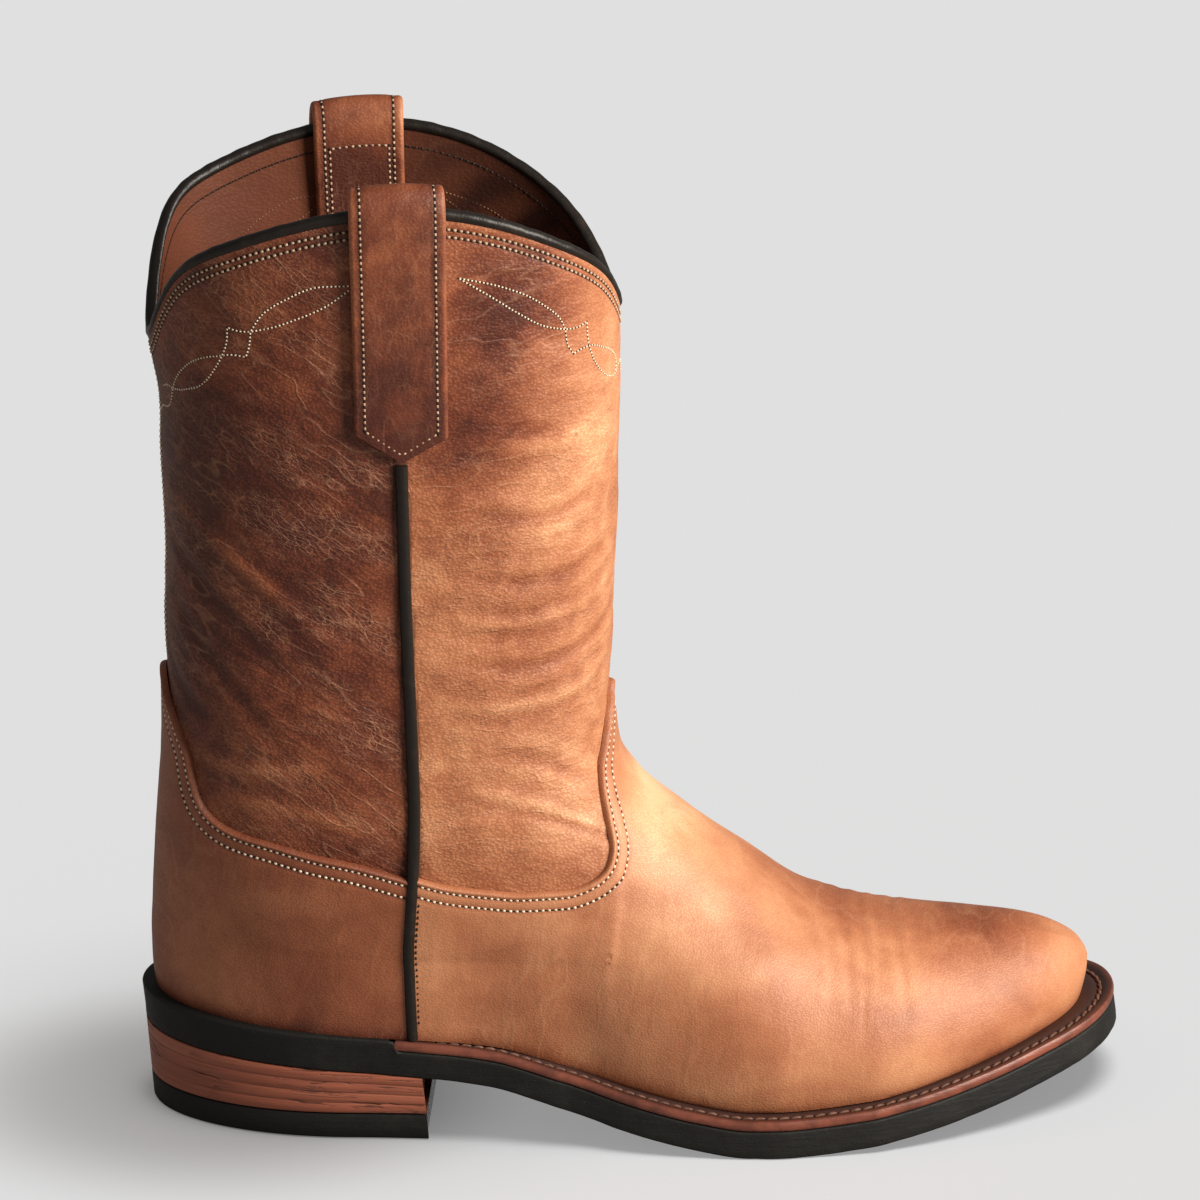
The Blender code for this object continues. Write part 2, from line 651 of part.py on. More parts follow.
def strap_sheet(side):
    """Middle surface of a pull strap: up the outside from the pointed tip, over, and down the inside."""
    across = np.linspace(-0.5, 0.5, 7)
    rim_v = 2.0
    low_v = seam_v(side, COLLAR_HEIGHT - STRAP_TIP_DROP)
    in_v = seam_v(side, COLLAR_HEIGHT - STRAP_INSIDE)
    point_v = seam_v(side, COLLAR_HEIGHT - STRAP_TIP_DROP + STRAP_POINT)
    lift = STRAP_THICK / 2 + FIT
    clear = BINDING_WIDTH / 2 + FIT + STRAP_THICK / 2
    lines = []
    for a in across:
        start = low_v + (point_v - low_v) * abs(2 * a)
        v = np.linspace(start, rim_v, 12)
        near = ease(rim_v - 0.2, rim_v, v)
        u = seam_u(v, side, a * STRAP_WIDTH)
        out = upper(u, v, lift + (clear - WALL / 2 - lift) * near)
        v_in = np.linspace(rim_v, in_v, 9)
        near_in = ease(rim_v - 0.2, rim_v, v_in)
        u_in = seam_u(v_in, side, a * STRAP_WIDTH)
        inside = upper(u_in, v_in, -WALL - lift - (clear - WALL / 2 - lift) * near_in)
        turn = np.linspace(0, math.pi, 9)[1:-1]
        middle = (out[-1] + inside[0]) / 2
        radius = (out[-1] - inside[0]) / 2
        rise = BINDING_HEIGHT + STRAP_RISE
        flat = np.array([radius[0], radius[1], 0])
        arch = (middle + np.cos(turn)[:, None] * flat
                + np.sin(turn)[:, None] * np.array([0, 0, rise]) + np.array([0, 0, 0]))
        lines.append(np.concatenate([out, arch, inside]))
    return np.stack(lines, 1)


def make_strap(name, side, leather):
    sheet = strap_sheet(side)
    run = np.gradient(sheet, axis=0)
    cross = np.gradient(sheet, axis=1)
    normal = np.cross(run, cross)
    normal /= np.linalg.norm(normal, axis=-1, keepdims=True)
    front = sheet + normal * STRAP_THICK / 2
    back = sheet - normal * STRAP_THICK / 2
    return shell(name, front, back, leather)


def main():
    for old in list(bpy.data.objects):
        bpy.data.objects.remove(old)
    rubber = material("black_rubber", (0.018, 0.019, 0.016), 0.6)
    stacked = material("stacked_leather", (0.22, 0.06, 0.03), 0.45)
    welt = material("welt_leather", (0.20, 0.05, 0.03), 0.5)
    tan = material("tan_leather", (0.42, 0.17, 0.075), 0.42)
    lining = material("lining_leather", (0.36, 0.14, 0.07), 0.55)
    black = material("black_leather", (0.014, 0.012, 0.010), 0.4)
    make_outsole(rubber)
    make_heel(rubber, stacked)
    make_welt(welt)
    make_insole(lining)
    make_upper(tan)
    make_overlay("vamp", VAMP_EDGE, 1, tan)
    make_overlay("counter", COUNTER_EDGE, -1, tan)
    for side, name in ((-1, "lateral"), (1, "medial")):
        make_piping(f"side_piping_{name}", side, black)
        make_strap(f"pull_strap_{name}", side, tan)
    make_binding(black)


main()
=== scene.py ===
import math

import bpy
import numpy as np
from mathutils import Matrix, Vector


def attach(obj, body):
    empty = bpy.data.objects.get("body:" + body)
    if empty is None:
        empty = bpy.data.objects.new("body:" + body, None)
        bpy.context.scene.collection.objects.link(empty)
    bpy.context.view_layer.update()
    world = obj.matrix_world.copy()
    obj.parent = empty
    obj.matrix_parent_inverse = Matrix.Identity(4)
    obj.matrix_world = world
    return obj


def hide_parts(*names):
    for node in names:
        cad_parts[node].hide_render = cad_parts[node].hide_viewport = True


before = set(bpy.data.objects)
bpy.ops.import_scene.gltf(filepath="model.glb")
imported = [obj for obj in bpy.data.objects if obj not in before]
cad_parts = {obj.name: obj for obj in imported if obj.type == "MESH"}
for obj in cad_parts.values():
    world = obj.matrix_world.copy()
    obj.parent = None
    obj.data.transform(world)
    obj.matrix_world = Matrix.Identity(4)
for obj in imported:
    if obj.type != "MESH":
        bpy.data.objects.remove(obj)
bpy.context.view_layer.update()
pi = math.pi
mm = 0.001
bootGroup = bpy.data.collections.new("boot")
floorGroup = bpy.data.collections.new("floor")
for group in (bootGroup, floorGroup):
    bpy.context.scene.collection.children.link(group)
print("frame loaded:", len(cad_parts), "solids")


# The boot's own sizes, the same as the solids have. Lengths in mm.
boot = {
    "soleLength": 301, "ballWidth": 104, "soleThick": 8.6, "soleFlare": 1.0,
    "rearRound": 62, "toeRound": 60, "toeSpring": 16.8,
    "heelLength": 87, "heelRise": 27, "heelTaper": 1.8, "breastHollow": 2.5, "capThick": 8.6,
    "weltThick": 3.0, "weltLedge": 8.6, "weltReach": 12, "weltStart": 78, "heelLedge": 3.4,
    "fit": 0.3, "collarHeight": 303, "backDip": 24, "backNotch": 24, "frontDip": 30,
    "frontNotch": 14, "innerBackRise": 5.0, "innerFrontDrop": 2.0, "shaftWidth": 89,
    "shaftTurn": 7, "wall": 2.4, "toeBulge": 2.2, "seamX": 84, "seamTopX": 75, "seamSkew": 1.8,
    "pipingWidth": 3.8, "bindingWidth": 4.4, "bindingHeight": 4.2,
    "strapWidth": 28, "strapThick": 2.6, "strapRise": 4.8, "strapDrop": 79,
    "strapPoint": 9, "strapInside": 52, "ovalFullness": 0.22, "footFullness": 2.3,
    "sideBulge": 0.07,
}
# The sole's centre and half width as shares of its greatest width, along its length
soleColumns = ("along", "centre", "half", "heelLift", "toeLift")
soleRows = (
    (0.00, 0.000, 0.357, 1.00, 0.00),
    (0.15, 0.000, 0.357, 0.90, 0.00),
    (0.29, -0.005, 0.357, 0.79, 0.00),
    (0.36, -0.017, 0.347, 0.69, 0.00),
    (0.43, -0.032, 0.352, 0.47, 0.00),
    (0.50, -0.028, 0.395, 0.24, 0.00),
    (0.57, -0.003, 0.450, 0.07, 0.00),
    (0.62, 0.020, 0.484, 0.00, 0.00),
    (0.66, 0.040, 0.500, 0.00, 0.00),
    (0.74, 0.075, 0.497, 0.00, 0.09),
    (0.78, 0.095, 0.480, 0.00, 0.18),
    (0.82, 0.114, 0.452, 0.00, 0.29),
    (0.87, 0.135, 0.423, 0.00, 0.46),
    (0.93, 0.163, 0.407, 0.00, 0.70),
    (1.00, 0.180, 0.430, 0.00, 1.00),
)
# The foot's sections from the feather line up to the ankle, and the shaft's up to the collar
footColumns = ("backX", "backRise", "frontX", "frontRise", "bulge", "leg", "half")
footRows = (
    (0.0200, 0.000, 0.9590, 0.000, 0.0, 0.00, 0.36),
    (0.0175, 0.026, 0.9600, 0.036, 0.8, 0.00, 0.37),
    (0.0170, 0.052, 0.9500, 0.060, 1.0, 0.00, 0.38),
    (0.0175, 0.076, 0.9230, 0.079, 0.6, 0.00, 0.39),
    (0.0182, 0.092, 0.8830, 0.091, 0.2, 0.00, 0.40),
    (0.0190, 0.107, 0.8280, 0.098, 0.0, 0.05, 0.40),
    (0.0200, 0.127, 0.7480, 0.110, 0.0, 0.15, 0.40),
    (0.0220, 0.164, 0.6740, 0.138, 0.0, 0.35, 0.40),
    (0.0255, 0.216, 0.6160, 0.183, 0.0, 0.60, 0.40),
    (0.0290, 0.266, 0.5610, 0.227, 0.0, 0.80, 0.405),
    (0.0325, 0.320, 0.5115, 0.272, 0.0, 0.95, 0.415),
    (0.0330, 0.379, 0.4838, 0.322, 0.0, 1.00, 0.425),
    (0.0330, 0.440, 0.4772, 0.385, 0.0, 1.00, 0.435),
)
shaftColumns = ("height", "backX", "frontX", "half")
shaftRows = (
    (0.00, 0.0330, 0.4772, 0.435),
    (0.25, 0.0340, 0.4832, 0.450),
    (0.50, 0.0340, 0.4860, 0.470),
    (0.75, 0.0325, 0.4890, 0.490),
    (1.00, 0.0230, 0.4890, 0.500),
)
size = {name: value * mm for name, value in boot.items()}
rearX = -size["heelLength"] / 2
toeX = rearX + size["soleLength"]
length = size["soleLength"]


# A cubic through the knots that never overshoots them
def smooth(knots, values, x):
    step = np.diff(knots)
    slope = np.diff(values) / step
    tangent = np.zeros(len(knots))
    tangent[0], tangent[-1] = slope[0], slope[-1]
    first, second = step[1:] + 2 * step[:-1], step[:-1] + 2 * step[1:]
    with np.errstate(divide="ignore", invalid="ignore"):
        mean = (first + second) / (first / slope[:-1] + second / slope[1:])
    tangent[1:-1] = np.where(slope[:-1] * slope[1:] > 0, mean, 0)
    x = np.clip(x, knots[0], knots[-1])
    i = np.clip(np.searchsorted(knots, x) - 1, 0, len(step) - 1)
    t = (x - knots[i]) / step[i]
    return (values[i] * (1 + 2 * t) * (1 - t) ** 2 + values[i + 1] * t**2 * (3 - 2 * t)
            + tangent[i] * step[i] * t * (1 - t) ** 2 + tangent[i + 1] * step[i] * t**2 * (t - 1))


def ease(start, end, x):
    t = np.clip((x - start) / (end - start), 0, 1)
    return t * t * (3 - 2 * t)


# A bell of height 1, a width from its middle down to 1/e
def bell(x, width):
    return np.exp(-((x / width) ** 2))


def unit(vectors):
    return vectors / np.linalg.norm(vectors, axis=-1, keepdims=True)


# How far along a line of points each of them lies
def runAlong(points):
    return np.concatenate([[0], np.cumsum(np.linalg.norm(np.diff(points, axis=0), axis=1))])


def column(names, rows, name):
    return np.array([row[names.index(name)] for row in rows])


def soleValue(name, x):
    along = column(soleColumns, soleRows, "along")
    return smooth(along, column(soleColumns, soleRows, name), (x - rearX) / length)


def soleBottom(x):
    return size["heelRise"] * soleValue("heelLift", x) + size["toeSpring"] * soleValue("toeLift", x)


def heelShare(x):
    return 1 - ease(rearX + 0.75 * size["heelLength"], rearX + 1.7 * size["heelLength"], x)


# Height of the face that the last stands on
def bed(x):
    return soleBottom(x) + size["soleThick"] + size["weltThick"] + 2.6 * size["fit"]


# Share of the half width that is left near both ends, a quarter ellipse at each
def endRound(x, rear, toe):
    nearRear = np.clip(1 - (x - rear) / size["rearRound"], 0, 1)
    nearToe = np.clip(1 - (toe - x) / size["toeRound"], 0, 1)
    return np.sqrt((1 - nearRear**2) * (1 - nearToe**2))


# The sole's outline moved in by the insets, with angle 0 at the rear and pi at the toe
def outlinePoint(angle, heelInset, toeInset, side):
    rear, toe = rearX + heelInset, toeX - toeInset
    x = rear + (toe - rear) * (1 - np.cos(angle)) / 2
    share = heelShare(x)
    inset = heelInset * share + toeInset * (1 - share)
    half = (size["ballWidth"] * soleValue("half", x) - inset) * endRound(x, rear, toe)
    return x, size["ballWidth"] * soleValue("centre", x) + side * half


def angleAt(x, heelInset, toeInset):
    rear, toe = rearX + heelInset, toeX - toeInset
    return np.arccos(1 - 2 * (x - rear) / (toe - rear))


def sectionValue(name, v):
    foot = np.linspace(0, 1, len(footRows))
    low = smooth(foot, column(footColumns, footRows, name), v)
    if name not in shaftColumns:
        return low
    height = column(shaftColumns, shaftRows, "height")
    high = smooth(height, column(shaftColumns, shaftRows, name), v - 1)
    return np.where(v < 1, low, high)


rearFeather = rearX + length * footRows[0][0]
toeFeather = rearX + length * footRows[0][2]


# x and height of a section's end, which is "back" or "front"
def endPoint(end, v):
    low = bed(rearFeather if end == "back" else toeFeather)
    return (rearX + length * sectionValue(end + "X", v),
            low + (size["collarHeight"] - low) * sectionValue(end + "Rise", v))


ridgeX, ridgeZ = endPoint("front", np.linspace(1, 0, 241))


# The foot's top line, carried on upwards behind the ankle
def ridge(x):
    return np.interp(x, ridgeX, ridgeZ) + 2.5 * np.clip(ridgeX[0] - x, 0, None)


# The collar's height dips to the back and the front, with a notch at both. On the inner side it
# rises at the back and drops at the front, and 4.2 brings that swell's peak to 1.
def collar(angle):
    c = np.cos(angle)
    dip = np.where(c > 0, size["backDip"], size["frontDip"])
    notch = np.where(c > 0, size["backNotch"], size["frontNotch"])
    inner = 4.2 * np.clip(-np.sin(angle), 0, None) * c**6
    inner = inner * np.where(c > 0, size["innerBackRise"], -size["innerFrontDrop"])
    rim = size["collarHeight"] - size["bindingHeight"]
    return rim - dip * c**2 - notch * np.abs(c) ** 16 + inner


# The last's face. u runs round from the back (0) by the outer side to the front (0.5) and back by
# the inner side. v runs up from the feather line (0) by the ankle (1) to the collar (2). A
# section's width goes from the foot's arch to the shaft's oval as leg goes from 0 to 1.
def lastFace(u, v):
    u, v = np.broadcast_arrays(np.asarray(u, float), np.asarray(v, float))
    angle = 2 * pi * u
    side = np.where(np.sin(angle) >= 0, -1.0, 1.0)
    s = (1 - np.cos(angle)) / 2
    backX, backZ = endPoint("back", v)
    frontX, frontZ = endPoint("front", v)
    x = rearFeather + (frontX - rearFeather) * s
    z = backZ + (frontZ - backZ) * s
    settle = np.clip(1 - v * (len(footRows) - 1) / 4, 0, 1)
    rearBed, toeBed = bed(rearFeather), bed(toeFeather)
    z = z + settle * (bed(x) - (rearBed + (toeBed - rearBed) * s))
    z = z + np.clip(v - 1, 0, 1) * (collar(angle) - z)
    share = heelShare(x)
    inset = size["heelLedge"] * share + size["weltLedge"] * (1 - share)
    toe = np.maximum(toeFeather, frontX)  # the toe's front can lean out past the feather line
    half = (size["ballWidth"] * soleValue("half", x) - inset) * endRound(x, rearFeather, toe)
    q = np.clip((z - bed(x)) / np.maximum(ridge(x) - bed(x), 1 * mm), 0, 1)
    bulge = 1 + boot["sideBulge"] * np.sin(pi * q**0.7)
    foot = half * bulge * np.sqrt(np.clip(1 - q ** boot["footFullness"], 0, 1))
    oval = np.abs(np.sin(angle)) * (1 + boot["ovalFullness"] * np.cos(angle) ** 2)
    leg = sectionValue("leg", np.minimum(v, 1))
    width = (1 - leg) * foot + leg * size["shaftWidth"] * sectionValue("half", v) * oval
    centre = (1 - leg) * size["ballWidth"] * soleValue("centre", x)
    centre = centre * (1 - 0.3 * ease(0, 60 * mm, z - bed(x)))
    y = side * np.where((s < 1e-9) | (s > 1 - 1e-9), 0, width)
    x = x + size["toeBulge"] * sectionValue("bulge", np.minimum(v, 1)) * s**8
    x = x + (backX - rearFeather) * (1 - s) ** 3
    middle = (backX + frontX) / 2
    turn = math.radians(boot["shaftTurn"]) * leg
    turnedX = middle + (x - middle) * np.cos(turn) - y * np.sin(turn)
    turnedY = (x - middle) * np.sin(turn) + y * np.cos(turn)
    return np.stack([turnedX, turnedY + centre, z], -1)


def lastNormal(u, v):
    du, dv = 1.5e-3, 3e-3
    along = lastFace(u + du, v) - lastFace(u - du, v)
    low, high = np.clip(v - dv, 0, 2), np.clip(v + dv, 0, 2)
    up = lastFace(u, high) - lastFace(u, low)
    normal = np.cross(along, up)
    return normal / np.maximum(np.linalg.norm(normal, axis=-1, keepdims=True), 1e-12)


# The last's face moved out along its normal, and never under the bed
def skin(u, v, out=0.0):
    u, v = np.broadcast_arrays(np.asarray(u, float), np.asarray(v, float))
    moved = lastFace(u, v) + lastNormal(u, v) * np.broadcast_to(out, u.shape)[..., None]
    moved[..., 2] = np.where(v < 0.2, np.maximum(moved[..., 2], bed(moved[..., 0])), moved[..., 2])
    return moved


# The side seam's turn u at a level v, on the outer (-1) or inner (1) side, shifted forward
def seamU(v, side, shift=0.0):
    frontX, _ = endPoint("front", v)
    seam = rearX + size["seamX"] + (size["seamTopX"] - size["seamX"]) * ease(0, 2, v)
    seam = seam - side * size["seamSkew"] * ease(1, 2, v)
    s = np.clip((seam + shift - rearFeather) / (frontX - rearFeather), 0, 1)
    angle = np.arccos(1 - 2 * s)
    return angle / (2 * pi) if side < 0 else 1 - angle / (2 * pi)


def seamV(side, height):
    v = np.linspace(0, 2, 401)
    return float(np.interp(height, lastFace(seamU(v, side), v)[:, 2], v))


# Shader sums: a wire is one output socket, and sums on wires add Math nodes
class Wire:
    def __init__(self, finish, socket):
        self.finish, self.socket = finish, socket

    def sum(self, operation, first, second):
        return self.finish.add("ShaderNodeMath", {"operation": operation}, {0: first, 1: second})

    def __add__(self, other):
        return self.sum("ADD", self, other)

    def __radd__(self, other):
        return self.sum("ADD", other, self)

    def __sub__(self, other):
        return self.sum("SUBTRACT", self, other)

    def __rsub__(self, other):
        return self.sum("SUBTRACT", other, self)

    def __mul__(self, other):
        return self.sum("MULTIPLY", self, other)

    def __rmul__(self, other):
        return self.sum("MULTIPLY", other, self)

    def __truediv__(self, other):
        return self.sum("DIVIDE", self, other)

    def __pow__(self, other):
        return self.sum("POWER", self, other)

    def low(self, other):
        return self.sum("MINIMUM", self, other)

    def high(self, other):
        return self.sum("MAXIMUM", self, other)

    def size(self):
        return self.finish.add("ShaderNodeMath", {"operation": "ABSOLUTE"}, {0: self})

    # 0 below start, 1 above end, eased between
    def step(self, start, end):
        return self.finish.add("ShaderNodeMapRange", {"interpolation_type": "SMOOTHSTEP"},
                               {"Value": self, "From Min": start, "From Max": end})

    # 1 on the value, falling to 0 at a distance from it
    def near(self, value, reach):
        return 1 - (self - value).size().step(0, reach)


class Finish:
    def __init__(self, name):
        self.material = bpy.data.materials.new(name)
        self.material.use_nodes = True
        self.tree = self.material.node_tree
        self.tree.nodes.clear()
        self.output = self.tree.nodes.new("ShaderNodeOutputMaterial")
        self.shader = self.tree.nodes.new("ShaderNodeBsdfPrincipled")
        self.tree.links.new(self.shader.outputs[0], self.output.inputs["Surface"])
        self.place = self.add("ShaderNodeTexCoord", {}, {}, "Object")

    # Any node: its type, its settings, its sockets' values or wires, and the output that is used
    def add(self, kind, settings, sockets, output=0):
        node = self.tree.nodes.new(kind)
        for name, value in settings.items():
            if name == "stops":
                ramp = node.color_ramp
                while len(ramp.elements) < len(value):
                    ramp.elements.new(0.5)
                for element, (position, colour) in zip(ramp.elements, value):
                    element.position, element.color = position, (*colour, 1)
            else:
                setattr(node, name, value)
        for name, value in sockets.items():
            self.set(node.inputs[name], value)
        return Wire(self, node.outputs[output])

    def set(self, socket, value):
        if isinstance(value, Wire):
            self.tree.links.new(value.socket, socket)
        elif isinstance(value, (tuple, list)) and len(value) == 3 and socket.type == "RGBA":
            socket.default_value = (*value, 1)
        else:
            socket.default_value = value

    def attribute(self, name):
        return self.add("ShaderNodeAttribute", {"attribute_name": name}, {}, "Fac")

    # The pattern's place, turned by degrees and scaled per axis
    def mapped(self, scale=(1, 1, 1), turn=(0, 0, 0), place=(0, 0, 0)):
        turn, scale = tuple(math.radians(a) for a in turn), tuple(1 / a for a in scale)
        return self.add("ShaderNodeMapping", {"vector_type": "TEXTURE"}, {
            "Vector": self.place, "Scale": scale, "Rotation": turn, "Location": place})

    def noise(self, scale, detail=3.0, rough=0.55, distort=0.0, place=None):
        return self.add("ShaderNodeTexNoise", {}, {
            "Vector": place or self.place, "Scale": scale, "Detail": detail,
            "Roughness": rough, "Distortion": distort}, "Fac")

    def cells(self, scale, feature="F1", place=None):
        return self.add("ShaderNodeTexVoronoi", {"feature": feature}, {
            "Vector": place or self.place, "Scale": scale}, "Distance")

    # The place shifted by a soft noise, so that a pattern on it wanders
    def warped(self, place, scale, amount):
        drift = self.add("ShaderNodeTexNoise", {}, {"Vector": place, "Scale": scale}, "Color")
        for operation, sockets in (("SUBTRACT", {1: (0.5, 0.5, 0.5)}), ("SCALE", {"Scale": amount}),
                                   ("ADD", {1: place})):
            drift = self.add("ShaderNodeVectorMath", {"operation": operation}, {0: drift, **sockets})
        return drift

    # Thin lines where a noise passes its middle value
    def veins(self, scale, width, distort, place, detail):
        return (self.noise(scale, detail, 0.5, distort, place) - 0.5).size().near(0, width)

    def mix(self, share, first, second):
        node = self.tree.nodes.new("ShaderNodeMix")
        node.data_type = "RGBA"
        self.set(node.inputs[0], share)
        self.set(node.inputs[6], first)
        self.set(node.inputs[7], second)
        return Wire(self, node.outputs[2])

    def ramp(self, value, stops):
        return self.add("ShaderNodeValToRGB", {"stops": stops}, {"Fac": value}, "Color")

    # A bump from a height between 0 and 1 and the metres that 1 stands for
    def bump(self, height, metres, under=None):
        sockets = {"Height": height, "Distance": metres, "Strength": 1.0}
        if under is not None:
            sockets["Normal"] = under
        return self.add("ShaderNodeBump", {}, sockets, "Normal")

    def finish(self, **sockets):
        for name, value in sockets.items():
            name = {"Colour": "Base Color", "Specular": "Specular IOR Level"}.get(name, name)
            self.set(self.shader.inputs[name], value)
        return self.material


# Leather: a tone between pale tan and dark red-brown comes from the piece. It carries both the
# leather's own tone and the shade and highlights painted on the piece, and blotches of two sizes break
# it up. Long veins run with each panel's slant and a fine net of pull-up cracks crosses them, both
# paler. Pebbles have darker seams, folded edges are a little paler, and creases get a painted shade
# in their troughs and a painted highlight on their ridges.
def leatherFinish(name, values):
    f = Finish(name)
    tone, crease, edge, panel = (f.attribute(n) for n in ("tone", "crease", "edge", "panel"))
    blotch = f.noise(values["blotchScale"], 3, 0.6, 0.8)
    fine = f.noise(values["blotchScale"] * 4.6, 3, 0.55, 0.6)
    dark = tone + (blotch - 0.5) * values["blotch"] + (fine - 0.5) * values["fineBlotch"]
    rear = f.mapped(values["veinStretch"], (0, values["rearSlant"], 0))
    front = f.mapped(values["veinStretch"], (0, values["frontSlant"], 0), (4, 2, 1))
    flow = f.mix(panel, rear, front)
    veins = f.veins(values["veinScale"], 0.040, 0.10, flow, 1.6)
    broken = f.noise(values["veinScale"] * 0.7, 2, 0.5).step(0.44, 0.60)
    veins = veins * veins * broken * values["veins"]
    net = f.warped(flow, 60, 0.012)
    netLines = f.cells(values["netScale"], "DISTANCE_TO_EDGE", net).near(0, 0.07)
    netFine = f.cells(values["netScale"] * 2.3, "DISTANCE_TO_EDGE", net).near(0, 0.09)
    elsewhere = f.noise(values["veinScale"] * 0.6, 3, 0.6, 0.3, flow).step(0.42, 0.62)
    cracks = (netLines * 0.7 + netFine * 0.6) * elsewhere * values["net"]
    pebble = f.cells(values["grainScale"], "F1", f.mapped((1, 1, 1.35))).step(0.15, 0.75)
    grit = f.noise(values["grainScale"] * 1.7, 2, 0.6)
    dark = dark + (pebble - 0.5) * values["grainShade"]
    # Creases: a painted shade in each trough and a painted highlight on each ridge; edges a little
    # paler
    dark = dark + crease * values["creaseShade"] - edge * 0.05
    colour = f.ramp(dark, values["colours"])
    pale = (veins + cracks * (1 - panel * 0.4)).low(0.7)
    colour = f.mix(pale, colour, f.mix(0.40, colour, values["veinColour"]))
    speck = f.cells(values["speckScale"], "F1").near(0.0, 0.10) * f.noise(30, 2).step(0.5, 0.62)
    colour = f.mix(speck * values["specks"], colour, (0.045, 0.014, 0.008))
    rough = values["rough"] + pebble * 0.10 + (grit - 0.5) * 0.12 + pale * 0.12
    height = (1 - pebble) * 0.75 + grit * 0.25
    normal = f.bump(height, values["grainDepth"])
    wrinkle = f.noise(values["wrinkleScale"], 2.5, 0.5, 0.5, flow)
    normal = f.bump(wrinkle + (veins + cracks * 0.5) * 0.5, values["wrinkleDepth"], normal)
    return f.finish(Colour=colour, Roughness=rough, Normal=normal, Specular=values["specular"])


tanRamp = (
    (0.00, (0.760, 0.450, 0.250)), (0.15, (0.600, 0.285, 0.140)), (0.28, (0.500, 0.208, 0.098)),
    (0.42, (0.405, 0.148, 0.066)), (0.62, (0.265, 0.078, 0.032)), (0.82, (0.150, 0.036, 0.015)),
    (1.00, (0.072, 0.015, 0.007)))
liningRamp = (
    (0.00, (0.330, 0.135, 0.065)), (0.50, (0.150, 0.043, 0.020)), (1.00, (0.030, 0.008, 0.004)))
shaftLeather = leatherFinish("shaft leather", {
    "blotchScale": 26, "blotch": 0.75, "fineBlotch": 0.40, "veinScale": 44, "veins": 0.34,
    "veinStretch": (1.0, 1.0, 2.8), "rearSlant": 34, "frontSlant": -8, "netScale": 130, "net": 0.58,
    "grainScale": 950, "grainShade": 0.13, "grainDepth": 0.00013, "wrinkleScale": 70,
    "wrinkleDepth": 0.0008, "speckScale": 95, "specks": 0.6, "rough": 0.47, "specular": 0.34,
    "creaseShade": -0.16, "veinColour": (0.66, 0.34, 0.19), "colours": tanRamp})
vampLeather = leatherFinish("vamp leather", {
    "blotchScale": 20, "blotch": 0.60, "fineBlotch": 0.22, "veinScale": 30, "veins": 0.20,
    "veinStretch": (2.4, 1.0, 1.0), "rearSlant": 14, "frontSlant": 14, "netScale": 90, "net": 0.16,
    "grainScale": 1400, "grainShade": 0.08, "grainDepth": 0.00006, "wrinkleScale": 50,
    "wrinkleDepth": 0.0004, "speckScale": 70, "specks": 0.25, "rough": 0.46, "specular": 0.42,
    "creaseShade": -0.10, "veinColour": (0.72, 0.42, 0.24), "colours": tanRamp})
strapLeather = leatherFinish("strap leather", {
    "blotchScale": 32, "blotch": 0.60, "fineBlotch": 0.34, "veinScale": 34, "veins": 0.10,
    "veinStretch": (2.4, 1.0, 1.0), "rearSlant": 4, "frontSlant": 4, "netScale": 120, "net": 0.2,
    "grainScale": 1000, "grainShade": 0.07, "grainDepth": 0.00008, "wrinkleScale": 70,
    "wrinkleDepth": 0.0005, "speckScale": 120, "specks": 0.4, "rough": 0.46, "specular": 0.38,
    "creaseShade": -0.16, "veinColour": (0.62, 0.34, 0.20), "colours": tanRamp})
liningLeather = leatherFinish("lining leather", {
    "blotchScale": 15, "blotch": 0.25, "fineBlotch": 0.16, "veinScale": 24, "veins": 0.08,
    "veinStretch": (1.0, 1.0, 1.0), "rearSlant": 30, "frontSlant": 30, "netScale": 90, "net": 0.05,
    "grainScale": 800, "grainShade": 0.05, "grainDepth": 0.00008, "wrinkleScale": 50,
    "wrinkleDepth": 0.0005, "speckScale": 90, "specks": 0.1, "rough": 0.55, "specular": 0.20,
    "creaseShade": -0.22, "veinColour": (0.40, 0.20, 0.11), "colours": liningRamp})


# Black leather of the trim, worn brown on its folds
def blackFinish():
    values = {"colour": (0.012, 0.0085, 0.0065), "worn": (0.046, 0.030, 0.020), "rough": 0.40}
    f = Finish("black trim leather")
    wear = f.noise(120, 4, 0.6).step(0.52, 0.78)
    fold = f.noise(420, 3, 0.6, 0.4)
    colour = f.mix(wear * 0.45, values["colour"], values["worn"])
    return f.finish(Colour=colour, Roughness=values["rough"] + (fold - 0.5) * 0.22,
                    Normal=f.bump(fold, 0.00022), Specular=0.30)


# Matt black rubber with pits, chips and pale dust along its scuffs; the pits are painted darker, as
# shade
def rubberFinish():
    values = {"colour": (0.0080, 0.0076, 0.0066), "dust": (0.036, 0.034, 0.029), "rough": 0.66}
    f = Finish("sole rubber")
    pit = f.cells(620, "F1").near(0, 0.16)
    rub = f.noise(1.0, 5, 0.7, 0.2, f.mapped((60, 60, 700)))
    dust = f.noise(34, 5, 0.7).step(0.50, 0.80) * 0.6 + rub.step(0.58, 0.75) * 0.4
    chip = f.noise(160, 3, 0.6)
    colour = f.mix(dust * 0.55, values["colour"], values["dust"])
    # The pits painted darker, as shade
    colour = f.mix(pit * 0.4, colour, (0.004, 0.004, 0.004))
    height = rub * 0.35 + chip * 0.5 - pit * 0.3
    return f.finish(Colour=colour, Roughness=values["rough"] + (dust - 0.3) * 0.15,
                    Normal=f.bump(height, 0.0006), Specular=0.28)


